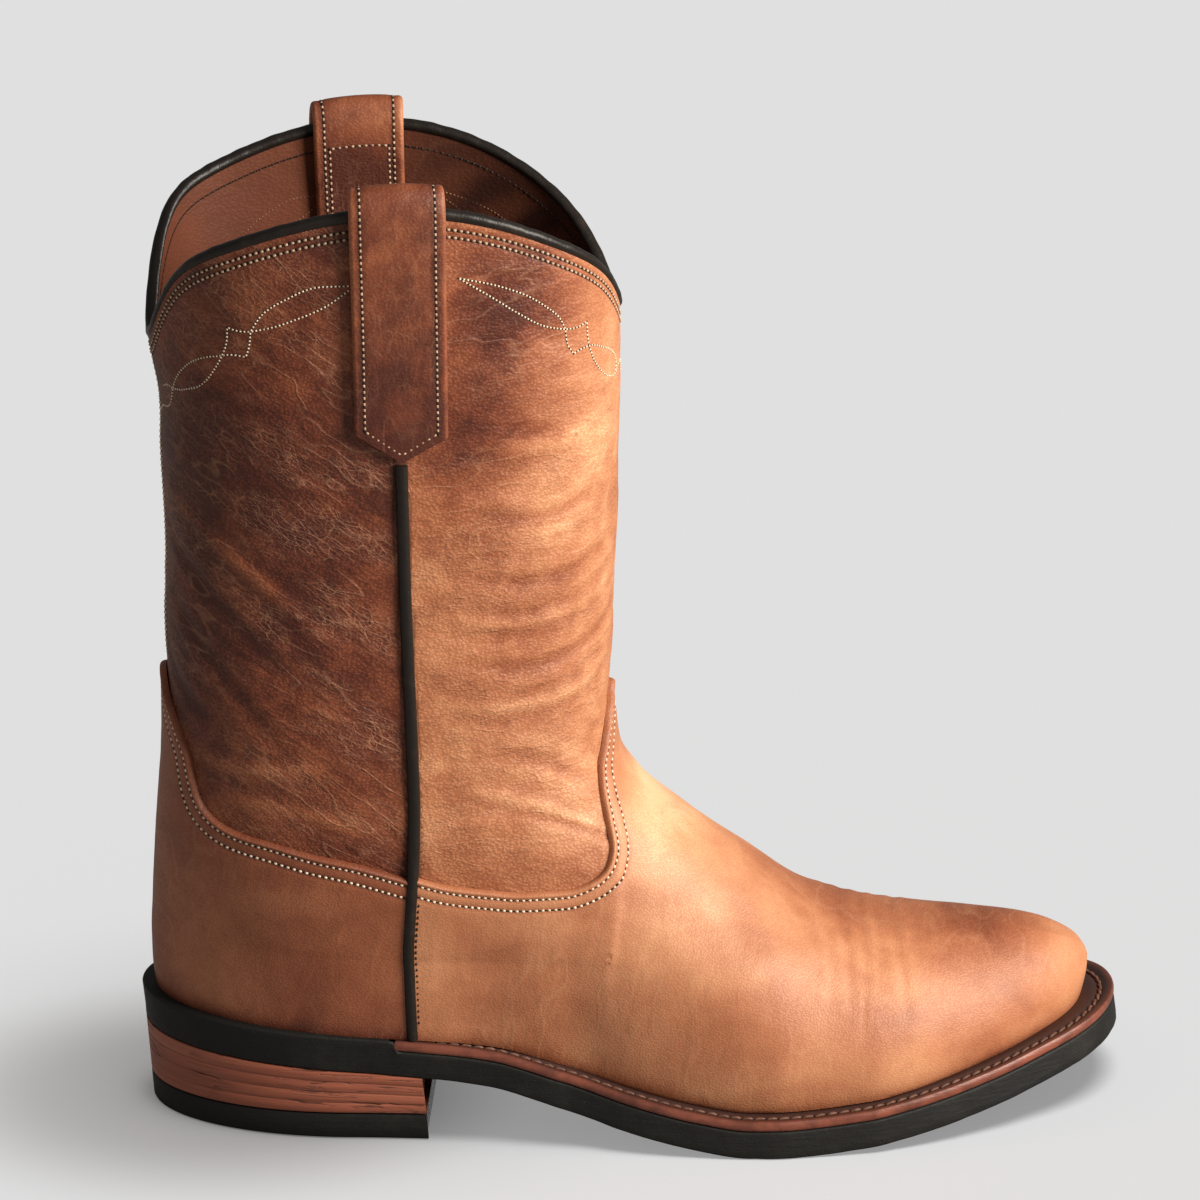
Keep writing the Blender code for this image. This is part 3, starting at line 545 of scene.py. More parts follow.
# Stacked leather: pressed lifts show as reddish streaks along the heel, with dark lines
def stackFinish():
    values = {"pale": (0.440, 0.135, 0.072), "deep": (0.250, 0.064, 0.034),
              "line": (0.050, 0.016, 0.010), "rough": 0.42}
    f = Finish("stacked leather")
    lift = f.attribute("lift")
    streak = f.noise(1.0, 6, 0.68, 0.15, f.mapped((16, 16, 520)))
    broad = f.noise(1.0, 3, 0.6, 0.3, f.mapped((9, 9, 150), (0, 0, 0), (3, 1, 0)))
    crack = f.noise(1.0, 3, 0.55, 0.2, f.mapped((22, 22, 380), (0, 2, 0), (7, 3, 1)))
    crack = crack.near(0.5, 0.020) * f.noise(40, 2).step(0.48, 0.64)
    tone = streak * 0.65 + broad * 0.55 - 0.1
    colour = f.mix(tone.step(0.25, 0.75), values["pale"], values["deep"])
    colour = f.mix((lift * 0.30 + crack * 0.7).low(0.9), colour, values["line"])
    height = streak * 0.5 - lift * 0.2 - crack * 0.6
    return f.finish(Colour=colour, Roughness=values["rough"] + streak * 0.16,
                    Normal=f.bump(height, 0.0005), Specular=0.45)


# The welt's reddish worn edge, and its dark top where tone is 1
def weltFinish():
    values = {"edge": (0.250, 0.072, 0.041), "edgeDark": (0.110, 0.030, 0.018),
              "top": (0.036, 0.013, 0.009), "rough": 0.42}
    f = Finish("welt leather")
    top = f.attribute("tone")
    worn = f.noise(90, 4, 0.65, 0.3)
    fibre = f.noise(1.0, 5, 0.65, 0.2, f.mapped((60, 60, 900)))
    colour = f.mix(worn.step(0.35, 0.7), values["edge"], values["edgeDark"])
    colour = f.mix((fibre - 0.4).high(0) * 0.9, colour, values["edgeDark"])
    colour = f.mix(top, colour, values["top"])
    return f.finish(Colour=colour, Roughness=values["rough"] + (worn - 0.5) * 0.2 + top * 0.06,
                    Normal=f.bump(fibre * 0.4 + worn * 0.6, 0.0004), Specular=0.45)


def threadFinish(name, pale, dark, rough=0.75):
    f = Finish(name)
    ply = f.noise(900, 2, 0.6)
    colour = f.mix(ply.step(0.3, 0.75), pale, dark)
    return f.finish(Colour=colour, Roughness=rough, Normal=f.bump(ply, 0.0001), Specular=0.3)


blackTrim = blackFinish()
soleRubber = rubberFinish()
stackedLeather = stackFinish()
weltLeather = weltFinish()
creamThread = threadFinish("cream thread", (0.86, 0.72, 0.54), (0.60, 0.44, 0.29))
wornThread = threadFinish("worn thread", (0.56, 0.40, 0.27), (0.33, 0.20, 0.12))
tanThread = threadFinish("tan thread", (0.30, 0.155, 0.085), (0.15, 0.07, 0.04))
weltThread = threadFinish("welt thread", (0.150, 0.066, 0.042), (0.060, 0.025, 0.016), 0.5)
darkThread = threadFinish("dark thread", (0.035, 0.016, 0.010), (0.016, 0.008, 0.006), 0.6)
needleHoleShade = threadFinish("needle hole shade", (0.022, 0.009, 0.006), (0.012, 0.006, 0.004), 0.9)
print("finishes made")


# Quads of a grid of points, open or closed along either way
def gridQuads(rows, columns, closedRows, closedColumns):
    i, j = np.meshgrid(np.arange(rows if closedRows else rows - 1),
                       np.arange(columns if closedColumns else columns - 1), indexing="ij")
    k, m = (i + 1) % rows, (j + 1) % columns
    quads = np.stack([i * columns + j, i * columns + m, k * columns + m, k * columns + j], -1)
    return quads.reshape(-1, 4)


# A piece of the boot with its finish, point values and the solids that it replaces; its slot is not
# used
def addPiece(name, points, quads, finish, slot, replaces=(), values=None, sharp=35, extra=()):
    mesh = bpy.data.meshes.new(name)
    faces = np.asarray(quads).tolist() + [list(f) for f in extra]
    mesh.from_pydata(np.asarray(points, float).reshape(-1, 3).tolist(), [], faces)
    mesh.materials.append(finish)
    for label, value in (values or {}).items():
        data = np.ascontiguousarray(np.asarray(value, np.float32).reshape(-1))
        mesh.attributes.new(label, "FLOAT", "POINT").data.foreach_set("value", data)
    mesh.shade_smooth()
    if sharp:
        mesh.set_sharp_from_angle(angle=math.radians(sharp))
    mesh.validate()
    piece = bpy.data.objects.new(name, mesh)
    bootGroup.objects.link(piece)
    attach(piece, "root")
    if replaces:
        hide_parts(*replaces)


# A closed piece of rows of points round its section, with a face over each end. Where the points
# run the other way round, its faces are turned.
def addStrip(name, rows, *rest, turned=False, **more):
    count, width = rows.shape[:2]
    quads = gridQuads(count, width, False, True)
    ends = [list(range(width))[::-1], list(range((count - 1) * width, count * width))]
    if turned:
        quads, ends = quads[:, ::-1], [face[::-1] for face in ends]
    addPiece(name, rows, quads, *rest, extra=ends, **more)


# Points spaced evenly along a line whose rows start with a place, with any columns after it
def spaced(line, pitch):
    run = runAlong(line[:, :3])
    count = max(2, int(round(run[-1] / pitch)) + 1)
    at = np.linspace(0, run[-1], count)
    return np.stack([np.interp(at, run, line[:, k]) for k in range(line.shape[1])], -1)


# A smooth line through control points of any number of columns
def throughPoints(points, count):
    points = np.asarray(points, float)
    run = runAlong(points)
    at = np.linspace(0, run[-1], count)
    return np.stack([smooth(run, points[:, k], at) for k in range(points.shape[1])], -1)


# The same faces for each of a number of copies that have points each
def repeated(faces, copies, points):
    shift = np.arange(copies) * points
    return (faces[None] + shift[:, None, None]).reshape(-1, faces.shape[1])


# Stitches as small spindles: a ring of five points swells from each end to the middle, bows out
# of the leather and dips into it at both ends
def stitchMesh(starts, ends, normals, width, rise, sink=0.25):
    along = ends - starts
    reach = np.linalg.norm(along, axis=1, keepdims=True)
    along = along / reach
    across = unit(np.cross(normals, along))
    out = np.cross(along, across)
    steps = np.array([0.0, 0.12, 0.36, 0.64, 0.88, 1.0])
    full = np.array([0.30, 0.82, 1.0, 1.0, 0.82, 0.30])
    arc = np.arange(5) / 5 * 2 * pi
    bow = np.sin(pi * steps) ** 0.7
    centre = (starts[:, None] + along[:, None] * (reach[:, None] * steps[None, :, None])
              + out[:, None] * ((bow * rise - sink * width)[None, :, None]))
    ringX = np.cos(arc)[None, None, :, None] * across[:, None, None, :]
    ringY = np.sin(arc)[None, None, :, None] * out[:, None, None, :] * 0.8
    points = centre[:, :, None, :] + (ringX + ringY) * (full * width / 2)[None, :, None, None]
    rings, sides = len(steps), len(arc)
    quads = repeated(gridQuads(rings, sides, False, True), len(starts), rings * sides)
    lids = np.array([[0, 4, 3, 2, 1], [25, 26, 27, 28, 29]])
    return points.reshape(-1, 3), quads, repeated(lids, len(starts), rings * sides)


# Needle holes as long dark beads that lie in the leather between two stitches: painted shade that
# stands in for the shade down each hole
def holeMesh(centres, alongs, normals, width, reach):
    across = unit(np.cross(normals, alongs))
    along = np.cross(across, normals)
    arc = np.arange(6) / 6 * 2 * pi
    rim = centres[:, None] + (np.cos(arc)[None, :, None] * along[:, None] * reach / 2
                              + np.sin(arc)[None, :, None] * across[:, None] * width / 2)
    top = centres + normals * width * 0.12
    low = centres - normals * width * 0.3
    points = np.concatenate([rim - normals[:, None] * width * 0.05, top[:, None], low[:, None]], 1)
    faces = []
    for k in range(6):
        faces += [[k, (k + 1) % 6, 6], [(k + 1) % 6, k, 7]]
    return points.reshape(-1, 3), repeated(np.array(faces), len(centres), 8)


# Rows of stitches in one thread: pitch, width and rise in mm, length as a share of the pitch
class Sewing:
    def __init__(self, name, thread, slot, pitch, length, width, rise, holes=True):
        self.name, self.thread, self.slot, self.holes = name, thread, slot, holes
        self.pitch, self.length, self.width, self.rise = pitch * mm, length, width * mm, rise * mm
        self.rows = []

    # A row is a line of points with their normals, sewn in even stitches
    def row(self, points, normals):
        self.rows.append(spaced(np.concatenate([points, normals], 1), self.pitch))

    def make(self):
        starts, ends, normals = [], [], []
        for both in self.rows:
            gap = (both[1:, :3] - both[:-1, :3]) * (1 - self.length) / 2
            starts.append(both[:-1, :3] + gap)
            ends.append(both[1:, :3] - gap)
            normals.append(both[:-1, 3:] + both[1:, 3:])
        starts, ends, normals = map(np.concatenate, (starts, ends, normals))
        points, quads, lids = stitchMesh(starts, ends, unit(normals), self.width, self.rise)
        addPiece(self.name, points, quads, self.thread, self.slot, sharp=0, extra=lids)
        if self.holes:
            centres = np.concatenate([b[:, :3] for b in self.rows])
            out = unit(np.concatenate([b[:, 3:] for b in self.rows]))
            run = np.concatenate([np.gradient(b[:, :3], axis=0) for b in self.rows])
            reach = self.pitch * (1 - self.length) * 1.5 + 0.3 * mm
            points, faces = holeMesh(centres, run, out, self.width * 1.05, reach)
            addPiece(self.name + "Holes", points, faces, needleHoleShade, self.slot, sharp=0)


# Low waves from sums of warped sines, the same every run
def waves(points, scale, seed):
    turn = np.random.RandomState(seed)
    total, weight = 0, 1.0
    warp = np.zeros(points.shape[:-1])
    for k in range(3):
        for _ in range(3):
            direction = unit(turn.normal(size=3))
            phase = turn.uniform(0, 2 * pi)
            warp = np.sin(points @ direction * scale * 2 * pi * 1.7**k + phase + 1.3 * warp)
            total = total + warp * weight
        weight *= 0.55
    return total / 3


girth = 300  # a whole turn u counts as so many mm on the unrolled leather


# Gaps from side-view points to a segment, and the nearest points' shares along it
def segmentGap(x, z, start, end, lowest=0, highest=1):
    (ax, az), (bx, bz) = start, end - start
    t = np.clip(((x - ax) * bx + (z - az) * bz) / (bx * bx + bz * bz), lowest, highest)
    return np.hypot(x - ax - bx * t, z - az - bz * t), t


# Height of creases and their painted shading, a painted shade along a trough and a painted highlight
# along a ridge: each falls off from its line as a bell, beside a lower rim of the other sign, and
# fades towards both ends
def creaseField(u, z, creases):
    height, tone = np.zeros(u.shape), np.zeros(u.shape)
    for path, depth, width in creases:
        line = throughPoints([(a * girth, b) for a, b in path], 14)
        best = np.full(u.shape, 1e9)
        share = np.zeros(u.shape)
        for k in range(len(line) - 1):
            gap, t = segmentGap(u * girth, z, line[k], line[k + 1])
            closer = gap < best
            best = np.where(closer, gap, best)
            share = np.where(closer, (k + t) / (len(line) - 1), share)
        fade = np.sin(pi * np.clip(share, 0.02, 0.98)) ** 0.6
        near, beside = bell(best, width) * fade, bell(best - 1.9 * width, width) * fade
        height += depth * (near - 0.45 * beside)
        tone += math.copysign(1, depth) * (near - 0.35 * beside)
    return height, tone


# Creases of the shaft: (turn u, height in mm) points, depth (a trough is negative) and
# half width in mm. The outer side has u under 0.5.
shaft = {
    "columns": 300, "undulation": 0.35, "thick": 1.15,
    "creases": (
        (((0.03, 196), (0.08, 183), (0.13, 168), (0.18, 150)), -0.55, 2.6),
        (((0.02, 180), (0.07, 166), (0.12, 150), (0.17, 128)), -0.50, 2.4),
        (((0.05, 205), (0.10, 196), (0.16, 181), (0.21, 163)), 0.40, 2.2),
        (((0.01, 160), (0.05, 146), (0.10, 136)), -0.45, 2.4),
        (((0.06, 128), (0.12, 122), (0.19, 124)), 0.35, 2.6),
        (((0.10, 112), (0.16, 110), (0.21, 103)), 0.30, 2.4),
        (((0.29, 186), (0.35, 181), (0.41, 184), (0.46, 190)), -0.55, 2.3),
        (((0.28, 172), (0.34, 168), (0.40, 170), (0.46, 176)), 0.50, 2.0),
        (((0.29, 158), (0.35, 153), (0.41, 157), (0.47, 166)), -0.60, 2.2),
        (((0.28, 144), (0.34, 141), (0.40, 143), (0.45, 150)), 0.45, 2.1),
        (((0.30, 205), (0.36, 201), (0.42, 206)), -0.40, 2.4),
        (((0.31, 128), (0.36, 122), (0.40, 112)), -0.45, 2.4),
        (((0.29, 116), (0.34, 108), (0.38, 97)), 0.40, 2.2),
        (((0.33, 106), (0.37, 97), (0.39, 90)), -0.40, 1.8),
        (((0.30, 228), (0.36, 224), (0.42, 232)), 0.35, 2.6),
        (((0.97, 196), (0.92, 183), (0.87, 168), (0.82, 150)), -0.50, 2.6),
        (((0.98, 170), (0.93, 156), (0.88, 142)), 0.40, 2.4),
        (((0.94, 128), (0.88, 122), (0.81, 120)), -0.40, 2.6),
        (((0.71, 186), (0.65, 181), (0.59, 184), (0.54, 190)), -0.50, 2.3),
        (((0.72, 168), (0.66, 163), (0.60, 166), (0.54, 174)), 0.45, 2.2),
        (((0.71, 150), (0.65, 146), (0.59, 150), (0.55, 158)), -0.50, 2.2),
        (((0.70, 128), (0.64, 121), (0.60, 110)), 0.40, 2.2),
    ),
    # Tone patches, partly the leather's own mottling and partly painted light: the dark ones high on
    # the front panel are painted shade, the pale ones near the front edge painted highlights. Turn u,
    # height, half sizes in u and mm, and how much darker
    "patches": (
        (0.10, 205, 0.11, 42, 0.06), (0.06, 165, 0.07, 30, 0.06), (0.17, 185, 0.07, 34, 0.08),
        (0.18, 132, 0.06, 22, -0.16), (0.13, 108, 0.10, 16, -0.06), (0.155, 290, 0.05, 14, -0.06),
        (0.33, 273, 0.05, 20, 0.56), (0.30, 240, 0.035, 30, 0.28), (0.31, 200, 0.04, 30, 0.14),
        (0.44, 228, 0.06, 45, -0.20), (0.44, 140, 0.07, 36, -0.14), (0.36, 150, 0.03, 16, 0.10),
        (0.90, 205, 0.11, 42, 0.06), (0.94, 165, 0.07, 30, 0.06), (0.83, 185, 0.07, 34, 0.08),
        (0.82, 132, 0.06, 22, -0.12), (0.87, 108, 0.10, 16, -0.06), (0.67, 273, 0.05, 20, 0.40),
        (0.70, 240, 0.035, 30, 0.20), (0.69, 200, 0.04, 30, 0.10), (0.56, 228, 0.06, 45, -0.16),
        (0.56, 140, 0.07, 36, -0.10),
    ),
    # Base tone, and how much darker the rear panel is: partly its own tone, partly painted shade
    "tone": 0.42, "rearToneAndShade": 0.42,
}


def patchTone(u, z, patches, base):
    tone = np.full(np.broadcast(u, z).shape, float(base))
    for pu, pz, du, dz, amount in patches:
        apart = (u - pu + 0.5) % 1.0 - 0.5
        tone += amount * np.exp(-((apart / du) ** 2) - ((z - pz) / dz) ** 2)
    return tone


# The level v at a height in mm on the last's face, at each turn u
def levelAt(u, z, lowest, count):
    v = np.linspace(lowest, 2, count)
    heights = lastFace(u[:, None], v[None])[..., 2] / mm
    return np.array([np.interp(a, h, v) for a, h in zip(z, heights)])


# Distance in mm from points to a line of points, in space
def lineDistance(points, line):
    flat = points.reshape(-1, 3)
    best = np.full(len(flat), 1e9)
    start, step = line[:-1], np.diff(line, axis=0)
    square = (step**2).sum(1)
    for k in range(0, len(flat), 4000):
        part = flat[k:k + 4000, None] - start[None]
        t = np.clip((part * step[None]).sum(2) / square[None], 0, 1)
        best[k:k + 4000] = np.sqrt(((part - step[None] * t[..., None]) ** 2).sum(2).min(1))
    return best.reshape(points.shape[:-1]) / mm


# Rows of stitches under the collar, the ornament on the panels and the back seam, in (u, mm below
# the collar) and for the ornament (u, height in mm)
shaftSewing = {
    "backShift": 0.008, "backHeights": (150, 246),
    "collarRows": (2.6, 4.9), "pitch": 1.9, "ornamentPitch": 1.2,
    "backPanel": (
        ((0.2187, 278.8), (0.198, 278.5), (0.171, 274.0), (0.154, 269.4), (0.1436, 263.8)),
        ((0.2186, 277.6), (0.200, 272.1), (0.178, 268.0), (0.160, 265.4), (0.1436, 263.8)),
        ((0.1436, 263.8), (0.134, 263.6), (0.1234, 264.4)),
        ((0.1234, 264.4), (0.122, 260.0), (0.1165, 255.3), (0.109, 251.0), (0.100, 247.0),
         (0.089, 243.8), (0.078, 242.4), (0.064, 240.8), (0.0507, 240.0)),
        ((0.1436, 263.8), (0.142, 259.5), (0.1385, 255.8)),
        ((0.1385, 255.8), (0.127, 256.0), (0.1165, 255.3)),
        ((0.1165, 255.3), (0.098, 253.6), (0.080, 250.7), (0.063, 245.8), (0.0507, 240.0)),
        ((0.0507, 240.0), (0.042, 240.2), (0.030, 238.6)),
        ((0.0507, 240.0), (0.046, 236.0), (0.038, 233.0), (0.022, 231.6), (0.008, 228.4)),
    ),
    "frontPanel": (
        ((0.2911, 279.8), (0.316, 276.8), (0.340, 272.6), (0.357, 268.2), (0.371, 263.6),
         (0.3774, 259.4)),
        ((0.2911, 279.8), (0.316, 272.6), (0.336, 266.8), (0.357, 261.8), (0.3774, 259.4)),
        ((0.3774, 259.4), (0.390, 259.0), (0.4025, 259.8)),
        ((0.3774, 259.4), (0.379, 255.0), (0.3859, 251.2)),
        ((0.3859, 251.2), (0.395, 252.0), (0.404, 252.2), (0.425, 249.8), (0.445, 246.4),
         (0.456, 242.0), (0.449, 238.6), (0.433, 240.0), (0.418, 244.0), (0.408, 249.0),
         (0.4035, 254.0), (0.4025, 259.8)),
        ((0.449, 238.6), (0.470, 240.6), (0.490, 238.0), (0.500, 232.0)),
    ),
}

around = np.arange(shaft["columns"]) / shaft["columns"]
levels = np.concatenate([np.linspace(0, 0.55, 12), np.linspace(0.55, 1, 64)[1:],
                         np.linspace(1, 1.86, 116)[1:], np.linspace(1.86, 2, 40)[1:]])
gridU, gridV = np.meshgrid(around, levels)
base = lastFace(gridU, gridV)
heightMm = base[..., 2] / mm
lift, creaseShading = creaseField(gridU, heightMm, shaft["creases"])
calm = ease(0.0, 14.0, collar(2 * pi * gridU) / mm - heightMm) * ease(0.45, 0.62, gridV)
lift = (lift + shaft["undulation"] * waves(base, 22, 5)) * calm
under = (collar(2 * pi * gridU) - base[..., 2]) / mm
for row in shaftSewing["collarRows"]:
    lift -= 0.22 * bell(under - row, 0.8)
outer = base + lastNormal(gridU, gridV) * (lift * mm)[..., None]
inner = skin(*np.meshgrid(around, np.linspace(2, 0, 70)), -shaft["thick"] * mm)
fold = np.minimum(gridU, 1 - gridU)
seamAt = np.minimum(seamU(levels, -1), 1)[:, None]
panel = ease(-0.004, 0.004, fold - seamAt)
# Tone: patches of painted shade and painted highlight over the leather's mottling
tone = patchTone(gridU, heightMm, shaft["patches"], shaft["tone"]) + 0.08 * waves(base, 14, 9)
# The rear panel darker: partly its own darker tone, partly painted shade of the boot's rear
tone += shaft["rearToneAndShade"] * (1 - panel)
# Painted shade in the grooves of the collar's stitch rows
for row in shaftSewing["collarRows"]:
    tone += 0.16 * bell(under - row, 0.8)
legPoints = np.concatenate([outer, inner])
rest = np.zeros(inner.shape[:-1])
addPiece("legLeather", legPoints, gridQuads(len(legPoints), shaft["columns"], True, True),
         shaftLeather, "tan_leather", ("upper",),
         {"tone": np.concatenate([tone, rest + 0.5]),
          "crease": np.concatenate([np.clip(creaseShading * calm, -1, 1), rest]),
          "edge": np.concatenate([bell(under, 1.6), rest]),
          "panel": np.concatenate([panel, rest])})
print("shaft leather", legPoints.shape)


# A point of the shaft's outer face with its normal, the creases' lift included
def onShaft(u, z):
    at = levelAt(u, z, 0.55, 700)
    swell, _ = creaseField(u, z, shaft["creases"])
    point = lastFace(u, at)
    soft = ease(0.0, 14.0, collar(2 * pi * u) / mm - z)
    swell = (swell + shaft["undulation"] * waves(point, 22, 5)) * soft
    normal = lastNormal(u, at)
    return point + normal * ((swell + 0.02) * mm)[:, None], normal


# Both panels' ornament on the outer side of the boot and mirrored on the inner side
def sewOrnament(sewing, onFace):
    for path in shaftSewing["backPanel"] + shaftSewing["frontPanel"]:
        line = throughPoints([(a * girth, b) for a, b in path], 40)
        u = line[:, 0] / girth
        for turn in (u, 1 - u):
            sewing.row(*onFace(turn, line[:, 1]))
    sewing.make()


sewOrnament(Sewing("ornamentStitches", creamThread, "tan_leather", shaftSewing["ornamentPitch"],
                   0.62, 0.62, 0.16), onShaft)

collarRows = Sewing("collarStitches", wornThread, "tan_leather", shaftSewing["pitch"], 0.62,
                    0.85, 0.24)
for below in shaftSewing["collarRows"]:
    u = np.linspace(0, 1, 500)
    collarRows.row(*onShaft(u, collar(2 * pi * u) / mm - below))
collarRows.make()

backRows = Sewing("backSeamStitches", creamThread, "tan_leather", 1.8, 0.62, 0.70, 0.18)
for shift in (-shaftSewing["backShift"], shaftSewing["backShift"]):
    z = np.linspace(*shaftSewing["backHeights"], 120)
    backRows.row(*onShaft(np.full_like(z, shift % 1.0), z))
backRows.make()
print("shaft stitches made")


# The lining hangs inside the leather, with soft slanting folds on the inner side's front that carry
# painted shading. Its front is painted darker, as shade where the collar keeps the key light off.
lining = {
    "columns": 200, "outside": 1.25, "depth": 2.35, "foldDepth": 1.0, "tone": 0.60,
    "frontShade": 0.26, "row": 5.0,
}
liningU = np.arange(lining["columns"]) / lining["columns"]
outside = skin(*np.meshgrid(liningU, np.linspace(0, 2, 80)), -lining["outside"] * mm)
iu, iv = np.meshgrid(liningU, np.linspace(2, 0, 120))
face = lastFace(iu, iv)
reach = bell(iu - 0.60, 0.10) + 0.5 * bell(iu - 0.30, 0.10)
phase = (iu - 0.5) * girth * 0.30 + face[..., 2] / mm * 0.30
folds = lining["foldDepth"] * np.sin(phase + 0.8 * waves(face, 12, 3)) * reach
folds = folds * ease(1.0, 9.0, (collar(2 * pi * iu) - face[..., 2]) / mm) * ease(0.9, 1.3, iv)
low = -lining["depth"] + 0.30 * np.clip(folds, -1, 1) + 0.15 * waves(face, 18, 4)
inside = skin(iu, iv, low * mm)
liningPoints = np.concatenate([outside, inside])
flat = np.zeros(outside.shape[:-1])
# Painted shade over the lining's front
liningTone = lining["tone"] + lining["frontShade"] * ease(0.80, 0.66, np.maximum(iu, 1 - iu))
liningTone = liningTone + 0.06 * waves(face, 10, 6)
addPiece("liningSkin", liningPoints, gridQuads(len(liningPoints), lining["columns"], True, True),
         liningLeather, "lining_leather", (),
         {"tone": np.concatenate([flat, liningTone]),
          "crease": np.concatenate([flat, np.clip(folds, -1, 1)]),
          "edge": np.zeros(liningPoints.shape[:2])})


# A point of the lining's face with its normal, which points into the boot
def onLining(u, z):
    at = levelAt(u, z, 1.4, 240)
    point, normal = lastFace(u, at), lastNormal(u, at)
    low = -lining["depth"] - 0.02 + 0.15 * waves(point, 18, 4)
    return point + normal * (low * mm)[:, None], -normal


u = np.linspace(0, 1, 500)
liningRow = Sewing("liningStitches", darkThread, "lining_leather", 2.0, 0.60, 0.70, 0.20)
liningRow.row(*onLining(u, collar(2 * pi * u) / mm - lining["row"]))
liningRow.make()
sewOrnament(Sewing("liningOrnament", tanThread, "lining_leather", shaftSewing["ornamentPitch"],
                   0.60, 0.45, 0.10, holes=False), onLining)
print("lining made")


# Upper edges of the overlays in side view: mm from the sole's rear end, and height. The rows of
# stitches are counted in mm from the edge.
vamp = {
    "columns": 300, "edge": (
        (87.3, 87.6), (93.9, 85.4), (106.3, 83.0), (118.3, 81.5), (130.3, 81.5), (138.2, 83.6),
        (142.7, 87.3), (143.9, 92.1), (142.4, 99.7), (140.3, 109.7), (140.0, 114.5),
        (141.2, 119.7), (142.4, 127.3), (143.6, 136.4), (144.5, 145.4), (145.1, 153.9),
        (146.0, 158.8), (150.5, 160.6)),
    "rows": (2.1, 5.6), "tone": 0.31,
}
# The counter has the vamp's leather at a darker tone: partly its own tone, partly painted shade of the
# boot's rear
counter = {
    "columns": 220, "edge": (
        (81.3, 88.5), (67.4, 93.0), (55.4, 95.7), (43.0, 99.1), (31.6, 101.8), (25.3, 105.1),
        (21.4, 110.0), (19.6, 116.7), (18.4, 123.6), (15.7, 130.0), (12.0, 138.2),
        (9.0, 146.7), (-6.0, 149.1)),
    "rows": (2.1, 5.9), "tone": 0.62,
}
# Tone patches of the vamp, partly mottling and partly painted light: the dark ones on the toe's top
# and the vamp's rear are painted shade, the pale ones over the instep painted highlights. x and height
# in mm, half sizes and how much darker
vampShadeAndTonePatches = (
    (165, 63, 26, 10, 0.17), (112, 97, 14, 16, -0.26), (130, 80, 18, 12, -0.12),
    (133, 58, 26, 10, -0.12), (67, 60, 16, 22, 0.20), (216, 56, 18, 9, 0.26),
    (60, 38, 26, 14, 0.06), (205, 34, 30, 10, 0.12), (145, 73, 10, 6, 0.12),
    (100, 44, 18, 12, 0.04),
)


# The overlays' leather in mm: its thickness, the swell at its fold, the depth of its grooves, and
# how high its stitches and the threads beside the piping lie
overlay = {"thick": 1.75, "fold": 0.28, "groove": 0.30, "stitch": 1.66, "seamStitch": 1.85}


# Smoothed edge line in side view, in the boot's own place
def edgeLine(edge):
    return throughPoints([(x + rearX / mm, z) for x, z in edge], 90)


# Which side of the edge line a side-view point lies on: its gap to the line, negative within the
# overlay. The line is carried on straight at both ends, and the overlay lies below it.
def edgeGap(x, z, line, forward):
    best = np.full(x.shape, 1e9)
    sign = np.ones(x.shape)
    for k in range(len(line) - 1):
        (ax, az), (bx, bz) = line[k], line[k + 1] - line[k]
        lowest, highest = None if k == 0 else 0, None if k == len(line) - 2 else 1
        gap, _ = segmentGap(x, z, line[k], line[k + 1], lowest, highest)
        turn = (bx * (z - az) - bz * (x - ax)) * forward
        closer = gap < best
        best = np.where(closer, gap, best)
        sign = np.where(closer, np.where(turn > 0, 1.0, -1.0), sign)
    return best * sign


